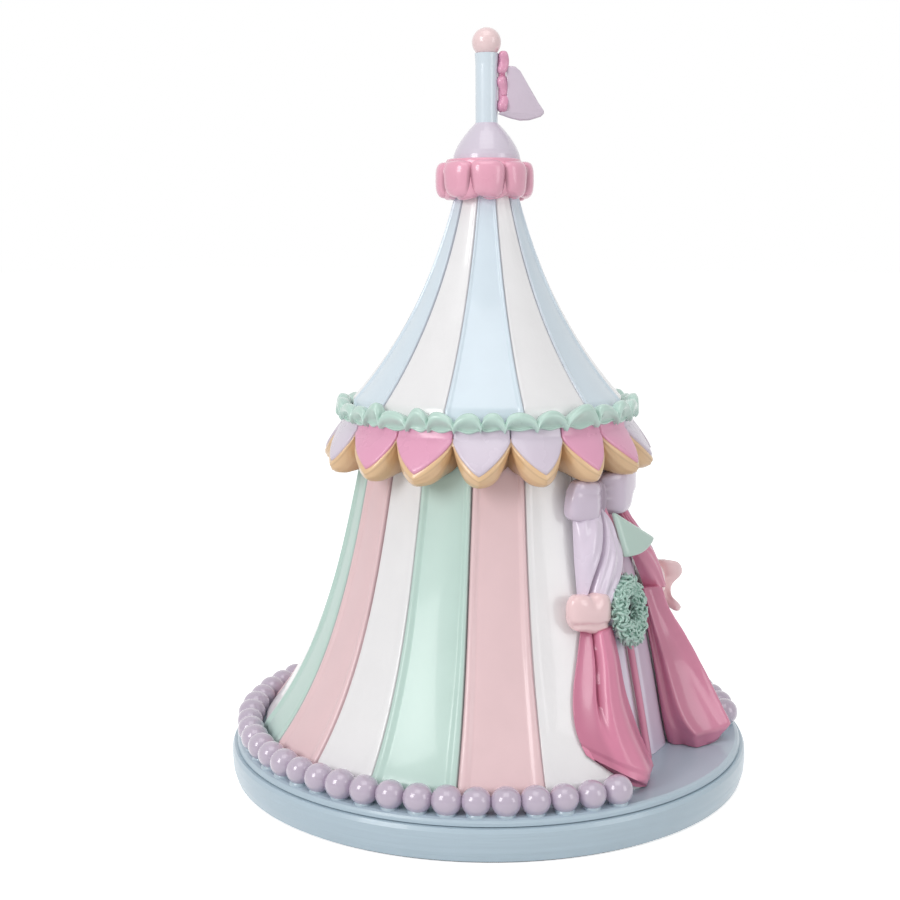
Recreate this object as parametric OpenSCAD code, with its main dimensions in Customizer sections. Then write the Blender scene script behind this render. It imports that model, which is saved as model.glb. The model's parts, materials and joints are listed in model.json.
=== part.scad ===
// Wind-up circus tent: a striped big top on a turntable, turned by a musical movement in its base.
// All sizes are in millimetres. The doorway faces -Y, and angles around the tent run from the
// doorway anticlockwise, seen from above.

/* [Base] */
// Largest radius of the base
base_r = 75.9; // [73:0.1:85]
// Height of the base's side wall above the table
base_h = 9.2; // [8.4:0.1:14]
// Height of the base's floor above the table, under the turntable
floor_h = 6; // [4:0.1:6.4]
// Thickness of the felt ring underneath
felt_t = 0.6; // [0.3:0.1:1.5]
// Width of the felt ring
felt_w = 14; // [6:1:24]
// Width of the rim around the turntable
rim_w = 3.4; // [2.4:0.1:6]
// How far the rim is drawn in at its foot
rim_draw = 0.9; // [0.3:0.1:2]
// Outer radius of the cup that holds the movement
cup_r = 34; // [33:0.5:38]
// Wall of the cup
cup_wall = 3; // [2:0.1:5]
// Height of the deck's top above the table
deck_h = 22; // [20.5:0.5:24]
// Thickness of the deck
deck_t = 3; // [2:0.1:4.5]
// Thickness of the nylon ring that the turntable glides on
glide_t = 0.8; // [0.5:0.1:1.2]
// Width of the nylon ring
glide_w = 7; // [4:0.5:12]

/* [Turntable] */
// How far the turntable's edge stands back from the base's
lip_step = 1.5; // [1:0.1:3]
// Thickness of the turntable's lip
lip_t = 1.7; // [1.2:0.1:3]
// Gap between the lip and the base
lip_gap = 0.3; // [0.2:0.05:0.6]
// Radius of the beads around the edge
bead_r = 3.75; // [3.2:0.05:3.8]
// Distance of the beads' ring from the turntable's edge
bead_inset = 3.8; // [3.8:0.1:6]
// How deep each bead sinks into its seat
bead_sink = 0.35; // [0.1:0.05:0.8]
// Number of beads
bead_n = 50; // [40:1:50]
// Angle of the first bead, past the doorway
bead_first = 33.3; // [33:0.1:38]
// Angle between neighbouring beads
bead_pitch = 6.12; // [6.1:0.01:6.2]

/* [Tent wall] */
// Height of the tent wall
wall_h = 88.8; // [84:0.1:92]
// Thickness of the wall
wall_t = 3; // [2.4:0.1:3.6]
// Radius that the wall settles to above its flare
waist_r = 48.6; // [47:0.1:52]
// How much of the flare's tip the upright foot cuts off
flare_cut = 3.7; // [1:0.1:6]
// Height over which the flare dies away
flare_len = 27; // [24:0.5:32]
// Lean of the wall: its loss of radius per millimetre of height
lean = 0.154; // [0.13:0.001:0.16]
// Number of striped panels
panel_n = 16; // [10:1:18]
// Depth of the grooves between panels
groove_d = 0.9; // [0.4:0.1:1.4]
// Width of the grooves, as an angle
groove_a = 1.8; // [1:0.1:3]
// Half the doorway's width, as an angle
door_half = 17.5; // [17:0.1:20]
// Radius of the doorway's foot
door_foot_r = 52.9; // [50:0.1:56]

/* [Roof] */
// Radius of the eaves
eave_r = 39.4; // [38.5:0.1:40.5]
// Height of the eaves' band, behind the frill
eave_h = 9.6; // [8:0.1:11]
// Height of the roof above the eaves' band
roof_h = 56.4; // [50:0.1:62]
// Radius of the roof's top
roof_top_r = 9.7; // [8.5:0.1:10.5]
// Height over which the roof's curve dies away
roof_len = 47.3; // [36:0.1:60]
// Thickness of the roof
roof_t = 3; // [2:0.1:4]
// Number of roof panels
roof_n = 12; // [8:2:16]
// Turn of the roof about the pole
roof_turn = 2.2; // [-15:0.1:15]

/* [Valance] */
// Number of scallops
scallop_n = 16; // [12:1:20]
// Turn of the scallops about the pole
scallop_turn = -11; // [-11.25:0.05:11.25]
// How far the scallops are drawn together towards the doorway, in degrees
scallop_draw = 10.3; // [0:0.1:14]
// Height of the valance, from its top to the scallops' lowest points
valance_h = 13; // [12:0.1:15]
// How far the valance stands out from the eaves at its fullest
valance_out = 9.8; // [8.8:0.1:12]
// Width of the valance's top edge, out from the eaves
valance_lap = 2.2; // [1.8:0.1:3.6]
// Thickness of the coloured petals
petal_t = 0.8; // [0.4:0.1:1.2]
// Width of the border around each petal
petal_border = 1.5; // [1:0.1:2.2]
// Height of the frill on the eaves
frill_h = 7.4; // [6:0.1:8.6]
// Depth of the frill's waves
frill_wave = 1.5; // [0.8:0.1:2]
// Number of waves in the frill
frill_n = 26; // [14:1:40]

/* [Finial] */
// Radius of the puffs in the collar
puff_r = 5.7; // [5.2:0.1:6.2]
// Radius of the ring of puffs
puff_ring_r = 8.6; // [8:0.1:9.4]
// Number of puffs
puff_n = 8; // [6:1:9]
// Height of the cap
cap_h = 10.2; // [8:0.1:13]
// Radius of the cap's foot
cap_r = 9.6; // [8.6:0.1:10]
// Radius of the flagpole
pole_r = 3.15; // [2.6:0.05:3.3]
// Height of the flagpole above the cap
pole_h = 19.1; // [17:0.1:24]
// Radius of the pole's dowel in the cap
dowel_r = 1.5; // [1:0.1:2]
// Length of the dowel
dowel_h = 6; // [4:0.1:7.5]
// Radius of the ball on the pole
ball_r = 4.1; // [3.6:0.1:5]
// Thickness of the flag
flag_t = 1.8; // [1.2:0.1:2.4]
// Reach of the flag from the pole's axis
flag_w = 16.6; // [13:0.1:20]
// Height of the flag
flag_h = 15.6; // [12:0.1:16.5]
// Turn of the flag from the doorway
flag_turn = 34; // [0:1:90]
// Width of the ruffle along the flag's hoist
hoist_w = 3.4; // [2.6:0.1:4]

/* [Doorway dressing] */
// Thickness of the door flaps
flap_t = 1.6; // [1:0.1:2.2]
// Width of the slit between the flaps, as an angle
slit_a = 0.8; // [0.4:0.1:1.6]
// Width of the trim on the slit, as an angle
trim_a = 3.2; // [2:0.1:4]
// Radius of the wreath's ring
wreath_ring_r = 6.8; // [6:0.1:8]
// Radius of the wreath's section
wreath_tube_r = 3.3; // [2.6:0.1:3.6]
// Height of the wreath's centre above the table
wreath_z = 53.5; // [50:0.1:56]
// Height of the tie-backs' middle above the table
tie_z = 56; // [53:0.1:58]
// Height of the bow's middle above the table
bow_z = 83.6; // [82.5:0.1:84.5]
// Thickness of the curtains' cloth where it lies on the wall
cloth_t = 3.2; // [2.4:0.1:4]

/* [Drive plate] */
// Height of the ledge that the drive plate hangs from
ledge_h = 51.5; // [50:0.1:56]
// Thickness of the ledge
ledge_t = 3; // [2.6:0.1:4]
// Width of the ledge inside the doorway's wall
ledge_w = 6; // [5:0.1:7]
// Thickness of the drive plate
plate_t = 2.5; // [1.5:0.1:3]
// Radius of the sound holes in the drive plate
sound_hole_r = 6; // [4:0.5:7]
// Radius of the spindle
spindle_r = 2; // [1.6:0.05:2.4]
// Radius of the hub's boss
hub_r = 5; // [4:0.1:6]
// Radius of the hub's flange
hub_flange_r = 8; // [7:0.1:9]

/* [Movement] */
// Thickness of the bedplate
bed_t = 2; // [1.5:0.1:3]
// Radius of the winding arbor
arbor_r = 2.5; // [2:0.05:2.8]
// Thickness of the ratchet wheel
ratchet_t = 1; // [0.7:0.1:1.2]
// Teeth on the ratchet wheel
ratchet_n = 24; // [18:1:30]
// Height of the spring barrel
barrel_h = 8.1; // [7:0.1:9]
// Wall of the spring barrel
barrel_wall = 0.8; // [0.6:0.05:1.2]
// Gear module of the barrel's crown teeth and the cylinder's pinion
crown_m = 0.5; // [0.45:0.01:0.5]
// Teeth on the barrel's crown
crown_n = 40; // [36:1:41]
// Teeth on the cylinder's pinion
pinion_n = 10; // [9:1:10]
// Gear module of the governor's train
train_m = 0.4; // [0.36:0.01:0.41]
// Teeth on the cylinder's wheel
wheel_n = 36; // [32:1:36]
// Teeth on the governor's pinion
gov_pinion_n = 9; // [9:1:10]
// Teeth on the worm wheel
worm_wheel_n = 24; // [22:1:24]
// Radius of the music cylinder
cyl_r = 6.5; // [5.5:0.1:6.6]
// Length of the music cylinder
cyl_len = 16.4; // [14:0.1:17]
// Height of the pins on the cylinder
pin_h = 0.5; // [0.3:0.05:0.6]
// Teeth in the comb
comb_n = 18; // [12:1:20]
// Thickness of the comb
comb_t = 1; // [0.7:0.1:1.4]
// Reach of the fan's blades from its axis
fan_r = 5; // [3.5:0.1:5]
// Height of the fan's blades
fan_h = 5; // [3:0.1:5.4]

/* [Winding key] */
// Width of the key across its wings
key_w = 23; // [18:0.5:28]
// Thickness of the wings
key_t = 1.8; // [1.2:0.1:2.6]
// Height of the wings
key_h = 9; // [7:0.1:10]
// Radius of the key's stem
key_stem_r = 3.4; // [3:0.1:4]
// Gap between the key and the table
key_lift = 1.6; // [1.2:0.1:3]

/* [Screws] */
// Radius of the deck screws
deck_screw_r = 1.5; // [1.2:0.05:1.8]
// Radius of the drive plate's screws
plate_screw_r = 1.25; // [1:0.05:1.5]
// Radius of the comb's screws
comb_screw_r = 1; // [0.8:0.05:1.2]

/* [Hidden] */
$fn = 96;
fit = 0.1;     // gap between glued pieces and between a screw and its hole
run = 0.08;    // radial clearance of a running fit
seat = 0.3;    // gap behind cloth that lies on a curved wall
join = 0.4;    // overlap that fuses the shapes of one solid

// Heights, from the table up
glide_top = floor_h + glide_t;
disc_z = glide_top + fit;
lip_z = base_h + lip_gap;
plat_top = lip_z + lip_t;
wall_top = plat_top + wall_h;
eave_z = wall_top + eave_h;
roof_top = eave_z + roof_h;
valance_rise = 2.5;
valance_top = wall_top + valance_rise;
valance_r = eave_r + valance_out;
valance_top_r = eave_r + valance_lap;
bead_z = plat_top + bead_r - bead_sink;

// Radii of the turntable
well_r = base_r - rim_w;
disc_r = well_r - seat;
felt_out_r = base_r - rim_draw - 1;
glide_out_r = disc_r - 4;
recess_r = cup_r - cup_wall;
arbor_hole_r = arbor_r + 0.9;
plat_r = base_r - lip_step;
plat_hole_r = cup_r + 1;
bead_ring_r = plat_r - bead_inset;
bead_gap = 0.45;
foot_r = bead_ring_r - bead_r - bead_gap;
flare = foot_r + flare_cut - waist_r;

// The tent's outline
function wall_curve(z) = waist_r + flare * exp((plat_top - z) / flare_len) - lean * (z - plat_top);
function wall_r(z) = min(foot_r, wall_curve(z));
door_top_step = 0.4;
function door_r(z) = door_foot_r
    + (wall_r(wall_top) - door_top_step - door_foot_r) * (z - plat_top) / wall_h;
function roof_shape(z) = (exp((eave_z - z) / roof_len) - exp(-roof_h / roof_len)) / (1 - exp(-roof_h / roof_len));
roof_foot_r = eave_r - 0.1;
function roof_r(z) = roof_top_r + (roof_foot_r - roof_top_r) * roof_shape(z);
function at(r, a, z) = [r * sin(a), -r * cos(a), z];
function steps(z0, z1, n) = [for (i = [0:n]) z0 + (z1 - z0) * i / n];

panel_a = (360 - 2 * door_half) / panel_n;
roof_a = 360 / roof_n;
scallop_a = 360 / scallop_n;
// The notch before scallop k, and how wide the scallop is beside an even one
function scallop_edge(k) = scallop_turn + k * scallop_a - scallop_draw * sin(scallop_turn + k * scallop_a);
function scallop_width(k) = (scallop_edge(k + 1) - scallop_edge(k)) / scallop_a;

// The drive plate and the movement
ledge_top = ledge_h + ledge_t;
plate_z = ledge_h - plate_t;
plate_gap = 0.5;
plate_r = door_r(ledge_top) - wall_t - plate_gap;
ledge_in_r = plate_r - ledge_w;
plate_screw_ring = plate_r - ledge_w / 2;
bed_top = deck_h + bed_t;
ratchet_gap = 0.15;
barrel_z = bed_top + ratchet_gap + ratchet_t + 0.35;
barrel_top = barrel_z + barrel_h;
crown_tooth_h = 1.8 * crown_m;
crown_r = crown_m * crown_n / 2;
crown_in_r = crown_r - 1;
barrel_r = crown_r + 0.8;
ratchet_r = arbor_r + 4.5;
pinion_r = crown_m * pinion_n / 2;
cyl_z = barrel_top + crown_tooth_h / 2 + pinion_r;
pinion_x = crown_in_r;
left_bracket_x = barrel_r + 1;
cyl_x = left_bracket_x + 1.8;
cyl_end = cyl_x + cyl_len;
wheel_r = train_m * wheel_n / 2;
gov_pinion_r = train_m * gov_pinion_n / 2;
worm_wheel_r = train_m * worm_wheel_n / 2;
gov_dist = wheel_r + gov_pinion_r + 0.05;
gov_tilt = 30;
gov_y = gov_dist * cos(gov_tilt);
gov_z = cyl_z - gov_dist * sin(gov_tilt);
gov_left_x = cyl_end + 0.5;
// Turns that bring the wheels into mesh at rest
wheel_turn = 90 - gov_tilt;
gov_pinion_turn = wheel_turn + 180 + 180 / gov_pinion_n;
worm_wheel_turn = 90;
worm_turns = 5;
worm_turn = 90 - 180 * worm_turns;
wheel_x = gov_left_x + 1.3;
worm_wheel_x = wheel_x + 1.8;
gov_right_x = worm_wheel_x + 1.7;
worm_x = worm_wheel_x + 0.5;
worm_r = 1.2;
worm_wave = 0.36;
worm_y = gov_y + worm_wheel_r + worm_r + 0.05;
worm_lead = train_m * PI;
gov_arm_z = gov_z + worm_wheel_r + 1.6;
comb_gap = 0.3;
comb_tip_y = -(cyl_r + pin_h + comb_gap);
comb_len = 9.5;
comb_clamp = 5.6;
comb_back_y = comb_tip_y - comb_len - comb_clamp;
comb_screw_y = comb_back_y + comb_clamp / 2;
comb_screw_x = [cyl_x + cyl_len * 0.2, cyl_x + cyl_len * 0.8];
tie_half = 5;
tie_puff = 2.8;
key_top = deck_h - deck_t - 0.5;
key_thread_r = key_stem_r - 1.2;
key_thread_h = 8;
deck_screw_at = [[-11, -15.5], [-11, 15.5], [25, 2]];

lilac = "#d9c8e0";
pale_blue = "#b9d6e8";
mint = "#b5dccd";
rose = "#f0c3c6";
hot_pink = "#dd86ac";
salmon = "#f2c6c4";
tan = "#dcb988";
sky = "#cfe3f2";
snow = "#f4f4f4";

// ---- Shared shapes ----

// A slice of a turned shape, from angle a0 to angle a1
module slice(a0, a1) {
    rotate([0, 0, a0 - 90]) rotate_extrude(angle = a1 - a0) children();
}

// The section between two outlines, from height z0 to z1
module band(z0, z1, n, inner, outer) {
    zs = steps(z0, z1, n);
    polygon(concat([for (z = zs) [outer(z), z]], [for (i = [n:-1:0]) [inner(zs[i]), zs[i]]]));
}

// A ring from radius r0 to r1
module ring(r0, r1, z, h) {
    translate([0, 0, z]) difference() {
        cylinder(r = r1, h = h);
        translate([0, 0, -1]) cylinder(r = r0, h = h + 2);
    }
}

// A wheel outline with straight-flanked teeth
module toothed(n, tip_r, root_r, tip_w, root_w) {
    polygon([for (i = [0:n - 1], k = [[root_r, -root_w], [tip_r, -tip_w], [tip_r, tip_w], [root_r, root_w]])
        let (a = 360 / n * (i + k[1] / 2)) [k[0] * cos(a), k[0] * sin(a)]]);
}

// A cylinder along X
module bar_x(x, y, z, r, len) {
    translate([x, y, z]) rotate([0, 90, 0]) cylinder(r = r, h = len);
}

// A solid lofted through rings of points, one above the other, all with as many points
module loft(rings) {
    count = len(rings[0]);
    last = (len(rings) - 1) * count;
    sides = [for (j = [0:len(rings) - 2], i = [0:count - 1]) let (k = (i + 1) % count, b = j * count)
        each [[b + i, b + count + k, b + k], [b + i, b + count + i, b + count + k]]];
    polyhedron([for (ring = rings) each ring], concat([[for (i = [0:count - 1]) i]], sides,
        [[for (i = [count - 1:-1:0]) last + i]]), convexity = 6);
}

// One level of a curtain: from the near edge round the outside to the far edge, then back along
// its inner face. inner is a list of [angle, radius]; side is -1 for the left-hand curtain.
function cloth_ring(z, near, far, out, near_r, far_r, dip, side, inner) =
    let (m = 14, folds = 3,
        outer = [for (i = [0:m]) let (s = i / m, rim = s < 0.5 ? near_r : far_r,
            puff = pow(1 - pow(abs(2 * s - 1), 3), 0.6))
            at(rim + (out - rim) * puff - dip * puff * (1 - cos(360 * folds * s)) / 2,
                side * (near + (far - near) * s), z)],
        back = [for (p = inner) at(p[1], side * p[0], z)],
        all = concat(outer, back))
    side > 0 ? all : [for (i = [len(all) - 1:-1:0]) all[i]];

// A puffed solid around points given as [radius, angle, height]
module puffed(points, r) {
    hull() for (p = points) translate(at(p[0], p[1], p[2])) sphere(r = r, $fn = 28);
}

// ---- Base ----

module base_housing() {
    bulge_z = (felt_t + base_h) / 2 + 1;
    foot_round = 2.4;
    top_round = 0.6;
    color(pale_blue) difference() {
        union() {
            rotate_extrude() polygon([[0, felt_t], [base_r - rim_draw, felt_t], [base_r - 0.2, felt_t + foot_round],
                [base_r, bulge_z], [base_r - 0.1, base_h - top_round * 1.7], [base_r - top_round, base_h],
                [well_r, base_h], [well_r, floor_h], [0, floor_h]]);
            cylinder(r = cup_r, h = deck_h);
        }
        cylinder(r = recess_r, h = deck_h - deck_t);
        cylinder(r = arbor_hole_r, h = deck_h + 1);
        for (p = deck_screw_at) translate(p) cylinder(r = deck_screw_r + fit, h = deck_h + 1);
        translate([0, 0, -1]) cylinder(r = base_r, h = 1 + felt_t);
    }
}

module felt_ring() {
    color("dimgray") ring(felt_out_r - felt_w, felt_out_r, 0, felt_t);
}

module glide_ring() {
    color("white") ring(glide_out_r - glide_w, glide_out_r, floor_h, glide_t);
}

// ---- Turntable and tent ----

module platform() {
    color(pale_blue) rotate_extrude() polygon([[plat_hole_r, disc_z], [disc_r, disc_z], [disc_r, lip_z],
        [plat_r, lip_z], [plat_r - 0.1, lip_z + lip_t * 0.5], [plat_r - 0.5, plat_top - 0.3],
        [plat_r - 1.3, plat_top], [plat_hole_r, plat_top]]);
}

module beads() {
    color(lilac) intersection() {
        for (i = [0:bead_n - 1]) translate(at(bead_ring_r, bead_first + i * bead_pitch, bead_z))
            sphere(r = bead_r);
        translate([0, 0, plat_top]) cylinder(r = base_r, h = 3 * bead_r);
    }
}

// The wall is thickened behind the doorway, and the doorway is then cut back into it. Grooves part
// the striped panels.
module tent_wall() {
    cheek_a = 3.2;
    levels = 14;
    spill = 0.01;
    color(rose) difference() {
        union() {
            rotate_extrude() band(plat_top, wall_top, levels, function (z) wall_r(z) - wall_t,
                function (z) wall_r(z));
            slice(-door_half - cheek_a, door_half + cheek_a) band(plat_top, wall_top, levels,
                function (z) door_r(z) - wall_t, function (z) wall_r(z) - wall_t / 2);
            rotate_extrude() band(ledge_h, ledge_top, 1, function (z) ledge_in_r,
                function (z) wall_r(z) - wall_t / 2);
        }
        slice(-door_half, door_half) band(plat_top - 1, wall_top + 1, 1, function (z) door_r(z),
            function (z) base_r);
        for (i = [0:panel_n]) let (a = door_half + i * panel_a) slice(a - groove_a / 2, a + groove_a / 2)
            band(plat_top - spill, wall_top + spill, levels, function (z) wall_r(z) - groove_d,
                function (z) base_r);
        for (i = [0:3]) translate(at(plate_screw_ring, 45 + 90 * i, ledge_h - 1))
            cylinder(r = plate_screw_r, h = 1 + ledge_t * 0.8);
    }
}

// The valance's outer radius at height z: it swells to its fullest, then turns in to the hem
full_z = valance_top - valance_h + 4;
hem_r = valance_r - 4;
function skirt_out_r(z) = z > full_z
    ? valance_r - (valance_r - valance_top_r) * pow((z - full_z) / (valance_top - full_z), 0.8)
    : valance_r - (valance_r - hem_r) * pow((full_z - z) / (valance_top - valance_h - full_z), 2);

module valance_section(extra) {
    low = valance_top - valance_h;
    outer = concat([for (z = steps(valance_top, full_z, 5)) [skirt_out_r(z) + extra, z]],
        [for (z = steps(full_z - 1.3, low, 2)) [skirt_out_r(z) + extra, z]]);
    inner_low = low + 1.6;
    polygon(concat(outer, [[wall_r(inner_low) + seat, inner_low], [wall_r(wall_top) + seat, wall_top - fit],
        [eave_r + fit, wall_top - fit], [eave_r + fit, valance_top]]));
}

// The outline of one scallop, seen from outside, cut back by the border b
module scallop_outline(b, width) {
    half = width * scallop_a / 2 * PI / 180 * (valance_r + valance_top_r) / 2;
    low = valance_top - valance_h;
    tip = low + 2.4 * b;
    shoulder = full_z + 3.5 + b / 2;
    polygon([[-half + b, valance_top + 1 - b], [-half + b, shoulder], [-half * 0.78 + b * 0.6, full_z + b],
        [-half * 0.42 + b * 0.2, low + 1.4 + b * 1.4], [0, tip],
        [half * 0.42 - b * 0.2, low + 1.4 + b * 1.4], [half * 0.78 - b * 0.6, full_z + b],
        [half - b, shoulder], [half - b, valance_top + 1 - b]]);
}

module scallop_cutters(list, b) {
    for (k = list) rotate([0, 0, (scallop_edge(k) + scallop_edge(k + 1)) / 2])
        translate([0, -wall_r(wall_top), 0]) rotate([90, 0, 0])
            linear_extrude(height = valance_r) scallop_outline(b, scallop_width(k));
}

module valance() {
    color(tan) difference() {
        rotate_extrude() valance_section(0);
        for (k = [0:scallop_n - 1]) rotate([0, 0, scallop_edge(k)])
            translate([0, -wall_r(wall_top) - 5, 0]) rotate([90, 0, 0]) linear_extrude(height = valance_r) {
                low = valance_top - valance_h;
                gap = scallop_width(k) * scallop_a / 2 * PI / 180 * valance_r;
                polygon([[0, full_z + 4.4], [-gap * 0.24, full_z + 0.6], [-gap * 0.62, low + 1.2],
                    [-gap * 0.92, low - 0.5], [gap * 0.92, low - 0.5], [gap * 0.62, low + 1.2],
                    [gap * 0.24, full_z + 0.6]]);
            }
    }
}

module petals(list) {
    intersection() {
        difference() {
            rotate_extrude() valance_section(petal_t);
            rotate_extrude() valance_section(0);
            ring(eave_r - 5, valance_top_r, wall_top - 20, 40);
        }
        scallop_cutters(list, petal_border);
    }
}

// The petals come in pairs of one colour
pink_petals = [for (k = [0:scallop_n - 1]) if (k % 4 == 0 || k % 4 == 3) k];
lilac_petals = [for (k = [0:scallop_n - 1]) if (k % 4 == 1 || k % 4 == 2) k];

module petals_lilac() {
    color(lilac) petals(lilac_petals);
}

module petals_pink() {
    color(hot_pink) petals(pink_petals);
}

module frill() {
    mid_r = valance_top_r + 0.9;
    color(mint) translate([0, 0, valance_top + fit]) difference() {
        linear_extrude(height = frill_h) polygon([for (i = [0:6 * frill_n - 1]) let (a = i * 60 / frill_n)
            (mid_r + frill_wave * sin(frill_n * a)) * [sin(a), -cos(a)]]);
        translate([0, 0, -1]) cylinder(r = eave_r + fit, h = frill_h + 2);
    }
}

// The section of the roof's shell, cut back by out on its outside and thick behind that. It stands
// on the eaves' band by a foot that the band hides.
module roof_section(out, thick) {
    zs = steps(eave_z, roof_top, 12);
    inset = groove_d / 2 + join;
    polygon(concat([[eave_r - inset, eave_z - join], [eave_r - inset, eave_z]],
        [for (z = zs) [roof_r(z) - out, z]],
        [for (i = [len(zs) - 1:-1:0]) [roof_r(zs[i]) - out - thick, zs[i]]],
        [[eave_r - inset - thick * 0.7, eave_z - join]]));
}

module roof() {
    flange = 3;
    lid_t = 2.6;
    color(sky) union() {
        rotate_extrude() roof_section(groove_d / 2, roof_t);
        ring(eave_r - roof_t, eave_r, wall_top, eave_h);
        ring(wall_r(wall_top) - wall_t, eave_r - roof_t / 2, wall_top, flange);
        translate([0, 0, roof_top - lid_t]) cylinder(r = roof_top_r - roof_t * 0.6, h = lid_t);
        for (i = [0:roof_n - 1]) color(i % 2 == 0 ? sky : snow)
            slice(roof_turn + (i - 0.5) * roof_a + groove_a / 2, roof_turn + (i + 0.5) * roof_a - groove_a / 2)
                roof_section(0, groove_d / 2 + join);
    }
}

// ---- Finial ----

puff_z = roof_top + puff_r - 0.6;
cap_z = puff_z + puff_r;
pole_z = cap_z + cap_h;
pole_top = pole_z + pole_h;

module collar() {
    color("#efa9c4") difference() {
        union() {
            for (i = [0:puff_n - 1]) translate(at(puff_ring_r, i * 360 / puff_n, puff_z)) sphere(r = puff_r);
            translate([0, 0, roof_top]) cylinder(r = puff_ring_r - 1.6, h = cap_z - roof_top);
        }
        translate([0, 0, roof_top - puff_r]) cylinder(r = roof_r(roof_top - 1.5) + fit, h = puff_r);
    }
}

module top_cap() {
    curve = [for (i = [0:8]) let (s = i / 8)
        [pole_r + (cap_r - pole_r) * (1 - pow(s, 1.6)), cap_z + cap_h * s]];
    color(lilac) difference() {
        rotate_extrude() polygon(concat([[0, cap_z]], curve, [[0, pole_z]]));
        translate([0, 0, pole_z - dowel_h - 0.5]) cylinder(r = dowel_r + fit, h = dowel_h + 2);
    }
}

module flagpole() {
    color(sky) union() {
        translate([0, 0, pole_z]) cylinder(r = pole_r, h = pole_h);
        translate([0, 0, pole_top - 3]) cylinder(r1 = pole_r, r2 = pole_r + 0.2, h = 3);
        translate([0, 0, pole_z - dowel_h]) cylinder(r = dowel_r, h = dowel_h + 1);
    }
}

module ball_finial() {
    color(salmon) difference() {
        translate([0, 0, pole_top + ball_r * 0.74]) sphere(r = ball_r);
        translate([0, 0, pole_top - ball_r]) cylinder(r = ball_r, h = ball_r);
    }
}

hoist_in = pole_r + 0.25;
flag_top = pole_top - 3.4;
flag_low = flag_top - flag_h;

module flag_hoist() {
    waves = 6;
    len = pole_h - 0.6;
    color(hot_pink) rotate([0, 0, flag_turn]) translate([0, 0, pole_z + 0.3])
        translate([-1.3, -hoist_in - hoist_w, 0]) cube([2.6, hoist_w * 0.6, len]);
    color(hot_pink) rotate([0, 0, flag_turn]) for (i = [0:waves - 1])
        translate([0, -hoist_in - hoist_w / 2, pole_z + 0.3 + len * (i + 0.5) / waves])
            rotate([0, 90, 0]) cylinder(r = hoist_w / 2, h = 3, center = true);
}

module flag() {
    in = hoist_in + hoist_w + fit;
    color(lilac) rotate([0, 0, flag_turn]) rotate([90, 0, -90]) translate([0, 0, -flag_t / 2])
        linear_extrude(height = flag_t) polygon([[in, flag_low + flag_h * 0.16], [in, flag_top],
            [in + (flag_w - in) * 0.35, flag_top - 0.4], [flag_w - 1.6, flag_low + flag_h * 0.32],
            [flag_w, flag_low + flag_h * 0.18], [flag_w - 1.2, flag_low + flag_h * 0.07],
            [flag_w * 0.68, flag_low]]);
}

// ---- Doorway dressing ----

flap_rise = 2;
flap_top = bow_z + flap_rise;
trim_rise = 0.6;
cloth_edge = 0.9;
function flap_r(z) = door_r(z) + fit + flap_t;
function cloth_in_r(z) = max(wall_r(z), flap_r(z)) + seat;

module door_flap(a0, a1) {
    color(lilac) slice(a0, a1) band(plat_top + fit, flap_top, 1, function (z) door_r(z) + fit,
        function (z) flap_r(z));
}

module door_flap_left() {
    door_flap(-door_half + 0.6, -trim_a / 2 - slit_a);
}

module door_flap_right() {
    door_flap(trim_a / 2 + fit, door_half - 0.6);
}

module door_trim() {
    color(hot_pink) slice(-trim_a / 2, trim_a / 2)
        band(plat_top + fit, flap_top, 1, function (z) door_r(z) + fit,
            function (z) flap_r(z) + trim_rise);
}

module wreath() {
    door_tilt = atan((door_foot_r - door_r(wall_top)) / wall_h);
    color(mint) translate([0, -flap_r(wreath_z) - wreath_tube_r - 0.9, wreath_z])
        rotate([90 - door_tilt, 0, 0]) rotate_extrude() translate([wreath_ring_r, 0]) circle(r = wreath_tube_r);
}

// The upper curtain, from the bow down to the tie-back. Angles are measured away from the doorway.
module drape(side) {
    low = tie_z + tie_half + seat;
    high = bow_z - 4.5;
    // [share of the height, near edge, far edge]
    shape = [[0, 12, 24.6], [0.2, 7, 24], [0.55, 3, 23.5], [1, 2.6, 22.5]];
    color(lilac) loft([for (v = shape) let (z = low + (high - low) * v[0], r = cloth_in_r(z))
        cloth_ring(z, v[1], v[2], r + cloth_t, r + cloth_edge, r + cloth_edge, 0.8, side,
            [for (i = [10:-1:0]) [v[1] + (v[2] - v[1]) * i / 10, r]])]);
}

// The lower curtain: it flares from the tie-back to a pointed hem on the turntable. Its near side
// reaches back to the door flap.
module skirt(side) {
    low = plat_top + fit;
    high = tie_z - tie_half - seat;
    fullness = 2.2;
    jamb = door_half - 0.5;
    // [share of the height, near edge, far edge, share of the extra fullness]
    shape = [[0, 11.6, 19, 0.1], [0.08, 11, 24, 0.5], [0.22, 10.8, 29.4, 1], [0.42, 12, 33.8, 1],
        [0.64, 12.6, 32.6, 0.5], [0.85, 13.1, 29.6, 0.2], [1, 13.6, 28, 0]];
    color(hot_pink) loft([for (v = shape) let (z = low + (high - low) * v[0], wall = wall_r(z) + seat,
        flap = flap_r(z) + seat, out = wall + cloth_t + fullness * v[3])
        cloth_ring(z, v[1], v[2], out, out - 1.6, wall + cloth_edge, 1.2, side,
            concat([for (i = [8:-1:0]) [jamb + (v[2] - jamb) * i / 8, wall]],
                [[jamb, flap], [(jamb + v[1]) / 2, flap], [v[1], flap]]))]);
}

module drape_left() {
    drape(-1);
}

module drape_right() {
    drape(1);
}

module skirt_left() {
    skirt(-1);
}

module skirt_right() {
    skirt(1);
}

// A puffed band around the curtain, between its upper and lower parts
module tie(side) {
    r = tie_puff + seat;
    lift = tie_half - tie_puff;
    color(salmon) puffed([for (p = [[17.6, 0.7], [17.6, -0.8], [28, 1], [28, -1]])
        let (z = tie_z + lift * p[1]) [cloth_in_r(z) + r, side * p[0], z]], tie_puff);
}

module tie_left() {
    tie(-1);
}

module tie_right() {
    tie(1);
}

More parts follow.
